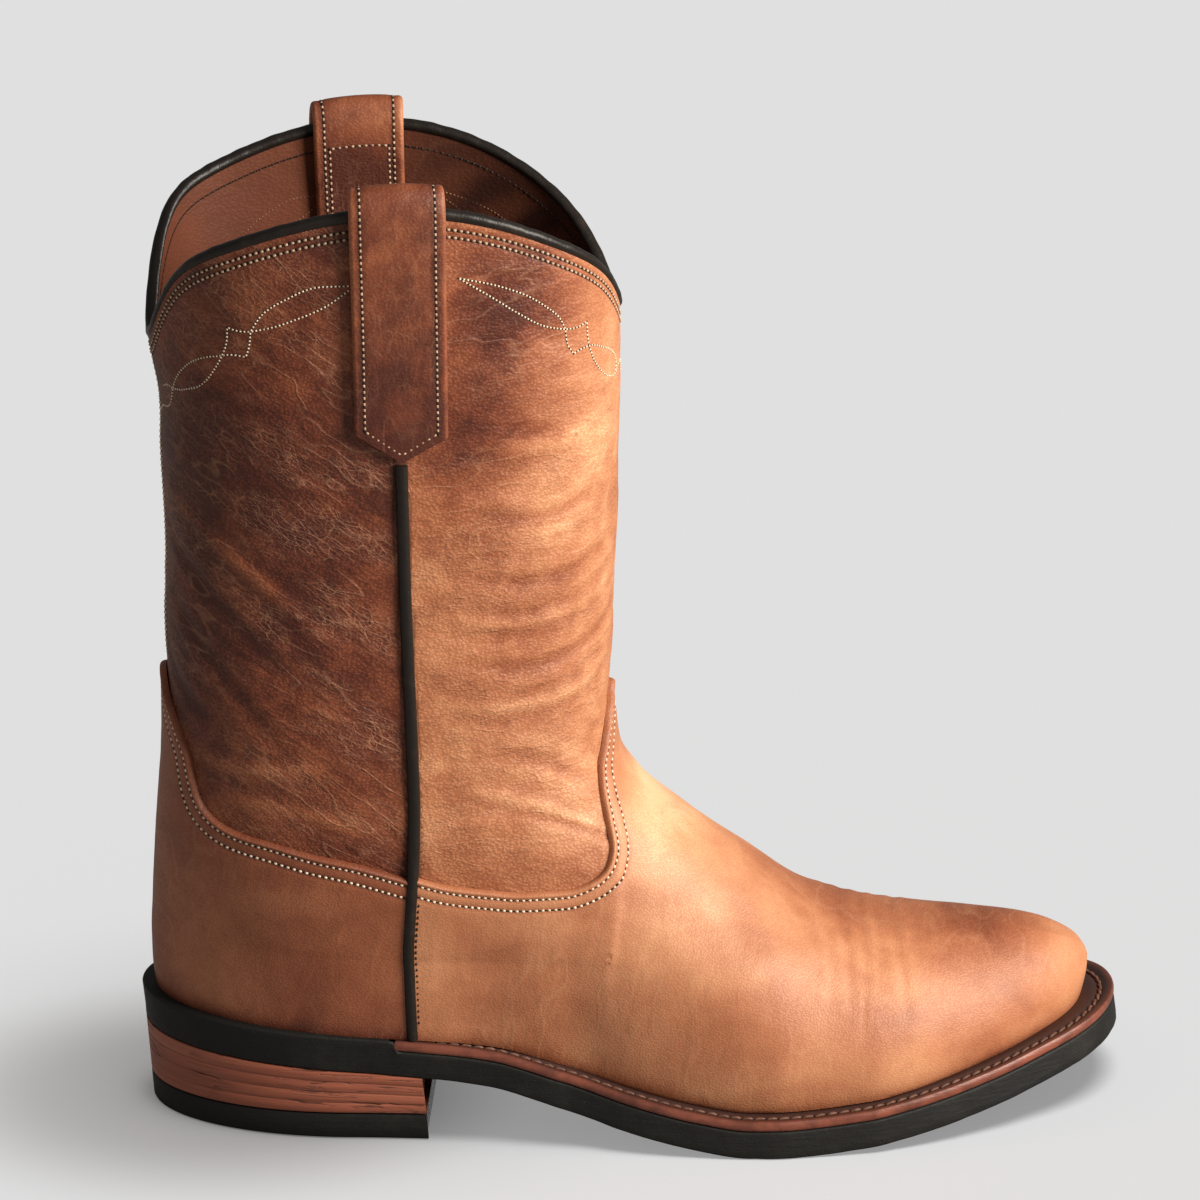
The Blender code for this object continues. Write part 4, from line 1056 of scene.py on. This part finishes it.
# An overlay between its two side seams. a runs round it from seam to seam; each column climbs
# from the feather line to the folded edge. The leather stands off the upper, thins out at the
# edge in a round, swells at the fold and sinks under both rows of stitches.
def makeOverlay(name, part, values, finish, sewing):
    front = part == "vamp"
    line = edgeLine(values["edge"])
    hide = (size["pipingWidth"] / 2 - 0.7 * mm) * (1 if front else -1)

    # The turn u at a share a from seam to seam. Both ends lie hidden under the piping.
    def turnAt(a, v):
        outerSide, innerSide = seamU(v, -1, hide), seamU(v, 1, hide)
        if front:
            return outerSide + (innerSide - outerSide) * a
        return (innerSide - 1) + (outerSide - innerSide + 1) * a

    # The level v where a column passes the edge line
    def edgeAt(a):
        v = np.linspace(0.25, 1.35, 420)
        grid = np.broadcast_to(v, (len(a), len(v)))
        place = lastFace(turnAt(a[:, None], grid), grid) / mm
        gap = edgeGap(place[..., 0], place[..., 2], line, 1 if front else -1)
        crossed = (gap[:, :-1] < 0) & (gap[:, 1:] >= 0)
        k = np.where(crossed.any(1), crossed.argmax(1), len(v) - 2)
        i = np.arange(len(a))
        rise = gap[i, k + 1] - gap[i, k]
        t = -gap[i, k] / np.where(np.abs(rise) < 1e-9, 1, rise)
        return v[k] + (v[1] - v[0]) * np.clip(t, 0, 1)

    a = np.linspace(0, 1, values["columns"])
    top = edgeAt(a)
    curve = lastFace(turnAt(a, top), top)
    run = runAlong(curve)
    blend = 0.6 * run / run[-1] + 0.4 * a
    a = np.interp(np.linspace(0, 1, values["columns"]), blend, a)
    top = edgeAt(a)
    curve = lastFace(turnAt(a, top), top)


    # Rows up each column: close together at these gaps in mm from the edge, even below them
    nearMm = np.array([0, 0.12, 0.3, 0.55, 0.85, 1.2, 1.55, 1.85, 2.1, 2.35, 2.7, 3.2, 3.8, 4.4, 4.9,
                       5.3, 5.7, 6.3, 7.2, 8.4])
    fine = np.linspace(0, 1, 500)
    columnsV = top[:, None] * fine[None]
    dense = lastFace(turnAt(a[:, None], columnsV), columnsV)
    steps = np.linalg.norm(np.diff(dense, axis=1), axis=2)
    climb = np.concatenate([np.zeros((len(a), 1)), np.cumsum(steps, 1)], 1)
    full = climb[:, -1]
    far = np.linspace(0, 1, 110)[:-1]
    targets = np.concatenate([far[None] * (full[:, None] - nearMm[-1] * mm),
                              full[:, None] - nearMm[None, ::-1] * mm], 1)
    v = np.stack([np.interp(t, c, s) for t, c, s in zip(targets, climb, columnsV)])
    u = turnAt(a[:, None], v)
    face = lastFace(u, v)
    gap = np.full(v.shape, 30.0)
    nearEdge = slice(v.shape[1] - 44, None)
    gap[:, nearEdge] = lineDistance(face[:, nearEdge], curve)
    gap[:, -1] = 0
    place = face / mm

    # The leather's thickness in mm: a round edge, a swell at the fold and a groove at each row
    thick = overlay["thick"] * np.sqrt(np.clip(1 - (1 - np.clip(gap / 1.1, 0, 1)) ** 2, 0, 1))
    thick += overlay["fold"] * bell(gap - 1.0, 0.8)
    for row in values["rows"]:
        thick -= overlay["groove"] * bell(gap - row, 0.7)
    soft = waves(face, 16, 21 if front else 22) * 0.25 * ease(0.0, 0.2, v) * ease(5, 16, gap)
    lift, creaseShading = creaseField(place[..., 0] / girth, place[..., 2], values.get("creases", ()))
    out = (0.15 + thick + soft + lift * ease(6, 14, gap)) * mm
    outerFace = face + lastNormal(u, v) * out[..., None]
    floorZ = bed(outerFace[..., 0]) - 0.4 * mm
    outerFace[..., 2] = np.where(v < 0.2, np.maximum(outerFace[..., 2], floorZ), outerFace[..., 2])
    outerFace[:, 0, 2] = bed(outerFace[:, 0, 0]) - 0.45 * mm
    backV = v[:, ::-6]
    backU = turnAt(a[:, None], backV)
    backFace = lastFace(backU, backV) + lastNormal(backU, backV) * 0.12 * mm
    backFace[:, -1, 2] = bed(backFace[:, -1, 0]) - 0.45 * mm
    rings = np.concatenate([outerFace, backFace], 1)
    tone = np.full(v.shape, values["tone"]) + 0.07 * waves(face, 12, 31)
    # Patches of painted shade and painted highlight, with mottling, on the vamp alone
    for px, pz, dx, dz, amount in vampShadeAndTonePatches:
        reach = np.exp(-(((place[..., 0] - px) / dx) ** 2) - ((place[..., 2] - pz) / dz) ** 2)
        tone += amount * reach * (1 if front else 0)
    # Painted shade along the overlay's foot, where it meets the welt
    tone += 0.20 * bell(np.maximum(place[..., 2] - bed(face[..., 0]) / mm, 0), 3.0)
    tone += 0.16 * bell(gap, 0.9)
    # Painted shade in the stitch grooves
    for row in values["rows"]:
        tone += 0.22 * bell(gap - row, 0.55)
    rest = np.zeros(backV.shape)
    addStrip(name, rings, finish, "tan_leather", (part,), {
        "tone": np.concatenate([tone, rest + 0.5], 1),
        "crease": np.concatenate([np.clip(creaseShading * 0.5, -1, 1), rest], 1),
        "edge": np.concatenate([bell(gap, 1.8), rest], 1)}, turned=True)
    for row in values["rows"]:
        zone = gap[:, nearEdge][:, ::-1]
        zoneV = v[:, nearEdge][:, ::-1]
        rowV = np.array([np.interp(row, np.maximum.accumulate(g), w) for g, w in zip(zone, zoneV)])
        rowU = turnAt(a, rowV)
        keep = rowV > 0.05
        normal = lastNormal(rowU, rowV)
        points = lastFace(rowU, rowV) + normal * overlay["stitch"] * mm
        sewing.row(points[keep][1:-1], normal[keep][1:-1])


# Creases where the foot bends, as on the shaft, but with x as the share of the girth
vamp["creases"] = (
    (((0.42, 84), (0.45, 74), (0.48, 60)), -0.22, 3.4),
    (((0.46, 78), (0.49, 68), (0.52, 54)), 0.18, 3.2),
    (((0.56, 64), (0.575, 54), (0.58, 40)), -0.30, 1.3),
    (((0.595, 62), (0.602, 50), (0.600, 36)), 0.24, 1.1),
    (((0.615, 60), (0.632, 48), (0.635, 36)), -0.26, 1.2),
    (((0.545, 62), (0.552, 50), (0.548, 42)), 0.20, 1.2),
    (((0.33, 74), (0.37, 70), (0.41, 62)), 0.16, 3.4),
)
overlaySewing = Sewing("overlayStitches", creamThread, "tan_leather", 1.95, 0.56, 0.85, 0.24)
makeOverlay("vampLeather", "vamp", vamp, vampLeather, overlaySewing)
makeOverlay("counterLeather", "counter", counter, vampLeather, overlaySewing)
overlaySewing.make()
print("overlays made")


# Half-round piping down both side seams: higher where it lies between the overlays
piping = {"rows": 220, "sides": 14, "low": 2.1, "high": 3.2}
for side, label, node in ((-1, "Lateral", "side_piping_lateral"), (1, "Medial", "side_piping_medial")):
    top = seamV(side, size["collarHeight"] - size["strapDrop"] - 1.5 * mm)
    v = np.linspace(0.006, top, piping["rows"])
    arc = np.linspace(0, pi, piping["sides"])
    rise = piping["high"] + (piping["low"] - piping["high"]) * ease(0.62, 0.72, v)
    wobble = 0.12 * np.sin(v * 61) + 0.08 * np.sin(v * 143 + 1)
    half = size["pipingWidth"] / 2 * (1 + 0.04 * wobble[:, None])
    out = (0.3 + (rise[:, None] - 0.3 + 0.1 * wobble[:, None]) * np.sin(arc)[None] ** 0.8) * mm
    points = skin(seamU(v[:, None], side, half * np.cos(arc)[None]), v[:, None], out)
    points[0, :, 2] -= 0.3 * mm
    addStrip("sidePiping" + label, points, blackTrim, "black_leather", (node,), sharp=50,
             turned=side < 0)

seamSewing = Sewing("seamStitches", darkThread, "black_leather", 2.0, 0.60, 0.70, 0.22, holes=False)
for side in (-1, 1):
    v = np.linspace(0.05, 0.62, 120)
    u = seamU(v, side, size["pipingWidth"] / 2 + 0.35 * mm)
    normal = lastNormal(u, v)
    seamSewing.row(lastFace(u, v) + normal * overlay["seamStitch"] * mm, normal)
seamSewing.make()
print("piping made")


# The rolled black binding on the collar, a round bead carried round the rim
binding = {"columns": 420, "sides": 18, "share": 0.86}
u = np.arange(binding["columns"]) / binding["columns"]
rim = (skin(u, 2.0) + skin(u, 2.0, -size["wall"])) / 2
outward = skin(u, 2.0, mm) - skin(u, 2.0)
outward[:, 2] = 0
outward = unit(outward)
arc = np.linspace(-0.32 * pi, 1.32 * pi, binding["sides"])
ripple = 1 + 0.02 * np.sin(u * 2 * pi * 37) + 0.015 * np.sin(u * 2 * pi * 71 + 1)
ripple = ripple[:, None]
across = np.cos(arc)[None] * size["bindingWidth"] / 2 * binding["share"] * ripple
upward = (np.sin(arc)[None] * 0.54 + 0.46) * size["bindingHeight"] * binding["share"] * ripple
upward -= 0.2 * mm
points = rim[:, None] + outward[:, None] * across[..., None]
points[..., 2] = rim[:, None, 2] + upward
quads = gridQuads(len(u), binding["sides"], True, True)[:, ::-1]
addPiece("collarRoll", points, quads, blackTrim, "black_leather", ("collar_binding",), sharp=50)
print("binding made")


# A pull strap: its middle face climbs the outside from the pointed tip, arches over the collar
# and runs down the inside. The section is a flat oval with round edges.
strap = {
    "inset": 3.2, "pitch": 1.9, "face": 15, "box": 0.33, "boxRows": (119, 146),
    # Painted shade along the strap, darker towards the tip and down the inside: tone at rows from the
    # tip up over the arch and down the inside
    "toneRows": (0, 30, 90, 112, 124, 173), "shadeTones": (1.06, 0.90, 0.72, 0.66, 0.86, 0.96),
}


# The strap's middle face at shares a of its width, from the tip to the inner end
def strapSheet(side, a):
    lift = size["strapThick"] / 2 + size["fit"]
    clear = size["bindingWidth"] / 2 + size["fit"] + size["strapThick"] / 2
    stand = clear - size["wall"] / 2 - lift
    low, point, deep = (seamV(side, size["collarHeight"] - drop) for drop in (
        size["strapDrop"], size["strapDrop"] - size["strapPoint"], size["strapInside"]))
    start = low + (point - low) * np.abs(2 * a)

    # A layer of the strap stands off the skin, and further where it nears the binding
    def layer(v, out, outward):
        u = seamU(v, side, a[None] * size["strapWidth"])
        return skin(u, v, out + outward * stand * ease(1.8, 2.0, v))

    outside = layer(start[None] + (2 - start[None]) * np.linspace(0, 1, 90)[:, None], lift, 1)
    inside = layer(2 + (deep - 2) * np.linspace(0, 1, 60)[:, None], -size["wall"] - lift, -1)
    turn = np.linspace(0, pi, 26)[1:-1, None]
    middle, radius = (outside[-1] + inside[0]) / 2, (outside[-1] - inside[0]) / 2
    radius[:, 2] = 0
    rise = np.array([0, 0, size["bindingHeight"] + size["strapRise"]])
    arch = middle[None] + np.cos(turn)[..., None] * radius[None] + np.sin(turn)[..., None] * rise
    return np.concatenate([outside, arch, inside])


strapSewing = Sewing("strapStitches", wornThread, "tan_leather", strap["pitch"], 0.56, 0.80, 0.22)
for side, label, node in ((-1, "Lateral", "pull_strap_lateral"), (1, "Medial", "pull_strap_medial")):
    n = strap["face"]
    edgeTurn = np.linspace(0, pi, 8)[1:-1]
    halfThick = size["strapThick"] / 2
    crown = halfThick / size["strapWidth"]
    flatA = np.linspace(-0.5 + crown, 0.5 - crown, n)
    roundA = 0.5 - crown + crown * np.sin(edgeTurn)
    across = np.concatenate([flatA, roundA, flatA[::-1], -roundA])
    height = np.concatenate([np.ones(n), np.cos(edgeTurn), -np.ones(n), -np.cos(edgeTurn)])
    sheet = strapSheet(side, across)
    flatSheet = strapSheet(side, np.linspace(-0.5, 0.5, 9))
    normal = unit(np.cross(*np.gradient(flatSheet, axis=(0, 1))))
    where = (np.clip(across, -0.5, 0.5) + 0.5) * 8
    k = np.clip(where.astype(int), 0, 7)
    t = (where - k)[None, :, None]
    normal = normal[:, k] * (1 - t) + normal[:, k + 1] * t
    inset = np.abs(across) * size["strapWidth"] / mm
    row = size["strapWidth"] / 2 / mm - strap["inset"]
    sink = 0.22 * bell(inset - row, 0.8) * (np.abs(height) > 0.9)
    thick = halfThick * height - np.sign(height) * sink * mm
    points = sheet + normal * thick[None, :, None]
    # Painted shade along the strap and in its stitch groove
    tone = np.interp(np.arange(len(sheet)), strap["toneRows"], strap["shadeTones"])[:, None]
    tone = tone + 0.10 * waves(points, 30, 41) + 0.22 * bell(inset - row, 0.7)[None]
    inBox = slice(*strap["boxRows"])
    tone[inBox] += 0.14 * (np.abs(across) < strap["box"])
    edge = bell(14 - inset, 1.6)[None] + 0 * tone
    addStrip("pullStrap" + label, points, strapLeather, "tan_leather", (node,),
             {"tone": tone - 0.16 * edge, "crease": 0 * tone, "edge": edge}, turned=True)

    # The strap's outer face and its normals, just under the leather's surface
    def strapFace(shares):
        rows = strapSheet(side, shares)
        rowNormal = unit(np.cross(*np.gradient(rows, axis=(0, 1))))
        rowNormal *= np.sign((rowNormal[30, 1] * lastNormal(seamU(1.7, side), 1.7)).sum())
        return rows + rowNormal * (halfThick - 0.12 * mm), rowNormal

    # Rows down both edges and round the tip, over the arch, and the box sewn on the inside
    share = row / (size["strapWidth"] / mm)
    above, rowNormal = strapFace(np.array([-share, 0.0, share]))
    tipIn = 4
    for c in (0, 2):
        strapSewing.row(above[tipIn:150, c], rowNormal[tipIn:150, c])
        a, b = above[tipIn, c], above[3, 1]
        tip = a + (b - a) * np.linspace(0, 1, 20)[:, None]
        strapSewing.row(tip, np.repeat(rowNormal[tipIn, 1][None], 20, 0))
    above, rowNormal = strapFace(np.linspace(-strap["box"], strap["box"], 13))
    first, last = strap["boxRows"]
    above = above + rowNormal * 0.1 * mm
    for c in (0, 12):
        strapSewing.row(above[first:last + 1, c], rowNormal[first:last + 1, c])
    for r in (first, last):
        strapSewing.row(above[r], rowNormal[r])
strapSewing.make()
print("straps made")


# The welt: a strip with a round outer edge, a worn lip, a stitched groove and a rising inner part
welt = {"stations": 420, "stitch": 3.7, "groove": 4.3}
startAngle = float(angleAt(rearX + size["weltStart"] + 2 * size["fit"], 0, 0))
angles = startAngle + (pi - startAngle) * (np.linspace(0, 1, welt["stations"] // 2))


# A line along the welt, at an inset and a height over the sole's top in mm
def weltRow(angles, inset, height):
    line = []
    full = size["weltLedge"] + size["weltReach"]
    for side, run in ((-1, angles), (1, angles[-2::-1])):
        x, y = outlinePoint(run, 0, 0, side)
        innerX, innerY = outlinePoint(run, size["heelLedge"] + size["weltReach"], full, side)
        t = inset * mm / full
        x, y = x + (innerX - x) * t, y + (innerY - y) * t
        line.append(np.stack([x, y, soleBottom(x) + size["soleThick"] + height * mm], -1))
    return np.concatenate(line)


top = boot["fit"] + boot["weltThick"]
profile = ((0.45, 0.3), (0.12, 0.7), (0.0, 1.3), (0.0, 2.0), (0.15, 2.6), (0.5, top - 0.1),
           (1.0, top), (1.9, top), (2.6, top - 0.15), (3.3, top - 0.55), (3.9, top - 0.95),
           (4.5, top - 1.0), (5.1, top - 0.75), (5.8, top - 0.30), (6.6, top - 0.05), (7.6, top),
           (9.5, top), (18.0, top), (18.0, 0.3))
rows = np.stack([weltRow(angles, a, b) for a, b in profile], 1)
ripple = 0.10 * waves(rows, 60, 51)
rows[:, 1:8] += (rows[:, 1:8] - rows[:, 8:9]) * (ripple[:, 1:8] * 0.04)[..., None]
weltTone = np.array([0, 0, 0, 0, 0.05, 0.25, 0.6, 0.85] + [1.0] * 11)
addStrip("weltStrip", rows, weltLeather, "welt_leather", ("welt",),
         {"tone": np.broadcast_to(weltTone, rows.shape[:2])}, sharp=40, turned=True)

# The welt's lockstitches lie in the groove, each a fat spindle set a little askew
line = weltRow(angles, welt["groove"], top - 0.78)
at = spaced(line, welt["stitch"] * mm)
step = at[1:] - at[:-1]
upwards = np.tile([[0, 0, 1.0]], (len(step), 1))
away = unit(np.cross(step, upwards))
starts = at[:-1] + step * 0.02 + away * 0.35 * mm
stops = at[1:] + step * 0.02 - away * 0.35 * mm
points, quads, lids = stitchMesh(starts, stops, upwards, 1.25 * mm, 0.35 * mm, 0.1)
addPiece("weltStitches", points, quads, weltThread, "welt_leather", sharp=0, extra=lids)
# Dark beads in the welt's needle holes, painted shade
points, faces = holeMesh(at - upwards[:1] * 0.1 * mm, np.gradient(at, axis=0),
                         upwards[:1].repeat(len(at), 0), 1.2 * mm, 1.2 * mm)
addPiece("weltHoles", points, faces, needleHoleShade, "welt_leather", sharp=0)
print("welt made")


# A closed loop of the sole's outline, at a height that is a function of x
def loopRing(angles, heelInset, toeInset, height, wobble=0.0, seed=0):
    points = []
    for side, run in ((-1, angles), (1, angles[-2:0:-1])):
        x, y = outlinePoint(run, heelInset, toeInset, side)
        points.append(np.stack([x, y, height(x)], -1))
    ring = np.concatenate(points)
    if wobble:
        ring = ring + wobble * mm * np.stack([waves(ring, 90, seed), waves(ring, 90, seed + 1),
                                              0 * ring[:, 0]], -1)
    return ring


# Strips between a ring's two sides of run points each, and one face over the points left
def capStrips(count, run, first, flip):
    faces = [(first, first + 1, first + count - 1)]
    for i in range(1, run - 1):
        faces.append((first + i, first + i + 1, first + count - i - 1, first + count - i))
    faces.append(tuple(first + i for i in range(run - 1, count - run + 2)))
    return [f[::-1] for f in faces] if flip else faces


# A block of stacked rings that is closed below and above
def addBlock(name, rings, run, finish, slot, node, sharp, values=None):
    count, last = len(rings[0]), (len(rings) - 1) * len(rings[0])
    lids = capStrips(count, run, 0, True) + capStrips(count, run, last, False)
    addPiece(name, np.concatenate(rings), gridQuads(len(rings), count, False, True), finish, slot,
             (node,), values, sharp, lids)


outsole = {"stations": 260, "wobble": 0.12}
angles = np.linspace(0, pi, outsole["stations"])
stepX = rearX + size["weltStart"]


# The sole's top: it steps up to the heel seat behind the welt's start
def soleTop(x):
    return soleBottom(x) + size["soleThick"] + np.where(
        x < stepX + size["fit"] / 2, size["weltThick"] + size["fit"], 0)


rings = []
taper = size["heelTaper"] / 2
flare = size["soleFlare"]
for low, inset in ((0, 0.9), (0.12, 0.45), (0.45, 0.12), (0.9, 0)):
    rings.append(loopRing(angles, taper + inset * mm, inset * mm - flare,
                          lambda x, low=low: soleBottom(x) + low * mm, outsole["wobble"], 61))
for share in (0.25, 0.45, 0.65, 0.85):
    rings.append(loopRing(angles, taper * (1 - share), -flare * (1 - share),
                          lambda x, s=share: soleBottom(x) + 0.9 * mm
                          + (soleTop(x) - soleBottom(x) - 1.7 * mm) * s,
                          outsole["wobble"] * 0.6, 63))
for high, inset in ((0.8, 0.0), (0.4, 0.1), (0.1, 0.4), (0, 0.8)):
    rings.append(loopRing(angles, inset * mm, inset * mm,
                          lambda x, h=high: soleTop(x) - h * mm, outsole["wobble"] * 0.4, 65))
addBlock("outsoleRubber", rings, outsole["stations"] - 1, soleRubber, "black_rubber", "outsole", 50)

heel = {
    "lifts": 4, "run": 60, "forward": 3.5, "lean": 1.9, "skew": 1.7,
    # Rings of the rubber cap: height and inset in mm
    "capRings": ((0, 0.8), (0.25, 0.25), (0.8, 0), (4.0, 0), (7.8, 0), (8.35, 0.15), (8.6, 0.5)),
    # Rings of each lift: share of its height, inset, and how dark its line is
    "liftRings": ((0.02, 0.30, 1.0), (0.10, 0.02, 0.2), (0.5, 0.0, 0.0), (0.90, 0.02, 0.2),
                  (0.98, 0.30, 1.0)),
}


# A heel ring at a share of the heel's rise: the sole's rear outline and a hollowed breast
def heelRing(share, height, inset=0.0):
    across = np.linspace(-1, 1, 31)[1:-1]
    taper = size["heelTaper"] * (1.5 - share) + inset
    breast = rearX + size["heelLength"] + (heel["forward"] - heel["lean"] * share) * mm - inset
    skew = heel["skew"] * mm
    turn = np.linspace(0, 1, heel["run"])
    x, y = outlinePoint(angleAt(breast - skew, taper, 0) * turn, taper, 0, -1)
    innerX, innerY = outlinePoint(angleAt(breast + skew, taper, 0) * turn, taper, 0, 1)
    shrink = 1 - inset / (40 * mm)
    frontY = y[-1] + (innerY[-1] - y[-1]) * (across + 1) / 2
    frontX = breast + skew * across - size["breastHollow"] * (1 - across**2)
    x = np.concatenate([x, frontX, innerX[:0:-1]])
    y = np.concatenate([y, frontY, innerY[:0:-1]]) * shrink
    return np.stack([x, y, height(x)], -1)


cap = size["capThick"]
capShare = cap / size["heelRise"]
rings = []
for z, inset in heel["capRings"]:
    share = z / boot["capThick"] * capShare
    rings.append(heelRing(share, lambda x, z=z: 0 * x + z * mm, inset * mm))
addBlock("heelRubber", rings, heel["run"], soleRubber, "black_rubber", "heel_cap", 40)

rings, lifts = [], []
for k in range(heel["lifts"]):
    for part, inset, line in heel["liftRings"]:
        t = (k + part) / heel["lifts"]
        share = capShare + (1 - capShare) * t
        rings.append(heelRing(share, lambda x, t=t: cap + size["fit"]
                              + (soleBottom(x) - cap - 1.2 * size["fit"]) * t, inset * 0.3 * mm))
        lifts.append(np.full(len(rings[-1]), line))
addBlock("heelStack", rings, heel["run"], stackedLeather, "stacked_leather", "heel_stack", 40,
         {"lift": np.concatenate(lifts)})
print("sole and heel made")


# The insole board stays as the solid is, with a leather finish
board = Finish("insole leather")
grain = board.noise(260, 4, 0.6)
tint = board.mix(grain.step(0.3, 0.8), (0.46, 0.24, 0.13), (0.30, 0.14, 0.07))
boardLeather = board.finish(Colour=tint, Roughness=0.6, Normal=board.bump(grain, 0.0003))
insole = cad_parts["insole"]
insole.data.materials.clear()
insole.data.materials.append(boardLeather)


# A pale sweep, a soft key from the toe side that falls off towards the heel, and the camera. The
# key lights the boot alone and a wide sun gives the floor its even tone and the soft shadow, with a
# painted shadow under the heel.
studio = {
    "floor": (0.62, 0.62, 0.62), "pale": (0.735, 0.735, 0.735), "glow": 0.40,
    "bounce": (0.30, 0.28, 0.26), "aim": (0.11, 0, 0.13),
    "key": 22, "keyPlace": (0.92, -0.42, 0.62),
    "keySize": (0.5, 0.5), "keyColour": (1.0, 0.94, 0.86),
    "fill": 1.5, "fillPlace": (-0.6, -1.6, 0.9),
    "fillSize": (1.2, 1.2), "fillColour": (1, 0.88, 0.78),
    "sun": 3.22, "sunTowards": (0.14, -0.06, 1.0), "sunSpread": 30, "world": 0.20, "backdrop": 0.755,
    # A painted shadow on the floor, a soft dark oval under the heel: its place, half sizes and share
    "paintedShadowX": -0.025, "paintedShadowHalf": (0.080, 0.065), "paintedShadow": 0.55,
    "camera": (0.0975, -1.878148, 0.907012), "tilt": 68.4, "lens": 201,
}
bpy.context.scene.view_settings.view_transform = "Standard"
floorMesh = bpy.data.meshes.new("studioFloor")
floorMesh.from_pydata([(-30, -30, 0), (30, -30, 0), (30, 30, 0), (-30, 30, 0)], [], [(0, 1, 2, 3)])
floor = bpy.data.objects.new("studioFloor", floorMesh)
floorGroup.objects.link(floor)
paint = Finish("studio floor")
glow = paint.add("ShaderNodeEmission", {}, {"Color": studio["pale"], "Strength": 1.0}, "Emission")
matte, dim = (paint.add("ShaderNodeBsdfDiffuse", {}, {"Color": studio[name]}, "BSDF")
              for name in ("floor", "bounce"))
seen = paint.add("ShaderNodeLightPath", {}, {}, "Is Camera Ray")
blend = paint.add("ShaderNodeMixShader", {}, {0: studio["glow"], 1: matte, 2: glow}, "Shader")
blend = paint.add("ShaderNodeMixShader", {}, {0: seen, 1: dim, 2: blend}, "Shader")
apart = [paint.add("ShaderNodeSeparateXYZ", {}, {0: paint.place}, k) for k in (0, 1)]
halfX, halfY = studio["paintedShadowHalf"]
# The painted shadow under the heel
paintedShadow = (((apart[0] - studio["paintedShadowX"]) / halfX) ** 2 + (apart[1] / halfY) ** 2) ** 0.5
paintedShadow = (1 - paintedShadow.step(0.55, 1.35)) * studio["paintedShadow"]
blend = paint.add("ShaderNodeMixShader", {}, {0: paintedShadow, 1: blend, 2: dim}, "Shader")
paint.tree.links.new(blend.socket, paint.output.inputs["Surface"])
floorMesh.materials.append(paint.material)
bootGroup.objects.link(insole)

world = bpy.data.worlds.new("studio")
world.use_nodes = True
sky = world.node_tree
background = sky.nodes["Background"]
background.inputs["Color"].default_value = (1, 1, 1, 1)
path = sky.nodes.new("ShaderNodeLightPath")
level = sky.nodes.new("ShaderNodeMapRange")
level.inputs["To Min"].default_value = studio["world"]
level.inputs["To Max"].default_value = studio["backdrop"]
sky.links.new(path.outputs["Is Camera Ray"], level.inputs["Value"])
sky.links.new(level.outputs["Result"], background.inputs["Strength"])
bpy.context.scene.world = world


# A light for one group alone, turned so that it shines against the direction towards
def addLight(name, kind, place, towards, energy, colour, group, width=None, spread=None):
    data = bpy.data.lights.new(name, kind)
    data.energy, data.color = energy, colour
    if width:
        data.shape, data.size, data.size_y = "RECTANGLE", width[0], width[1]
    if spread:
        data.angle = math.radians(spread)
    lamp = bpy.data.objects.new(name, data)
    lamp.location = place
    lamp.rotation_euler = Vector(towards).to_track_quat("Z", "Y").to_euler()
    bpy.context.scene.collection.objects.link(lamp)
    lamp.light_linking.receiver_collection = group


for name in ("key", "fill"):
    place = studio[name + "Place"]
    addLight(name, "AREA", place, np.array(place) - studio["aim"], studio[name],
             studio[name + "Colour"], bootGroup, width=studio[name + "Size"])
addLight("floorSun", "SUN", (1, -1, 2), studio["sunTowards"], studio["sun"], (1, 1, 1), floorGroup,
         spread=studio["sunSpread"])

camera = bpy.data.objects.new("camera", bpy.data.cameras.new("camera"))
camera.data.sensor_width, camera.data.lens = 36, studio["lens"]
camera.data.clip_end = 100
camera.location = studio["camera"]
camera.rotation_euler = (math.radians(studio["tilt"]), 0, 0)
bpy.context.scene.collection.objects.link(camera)
bpy.context.scene.camera = camera

print("scene ready")
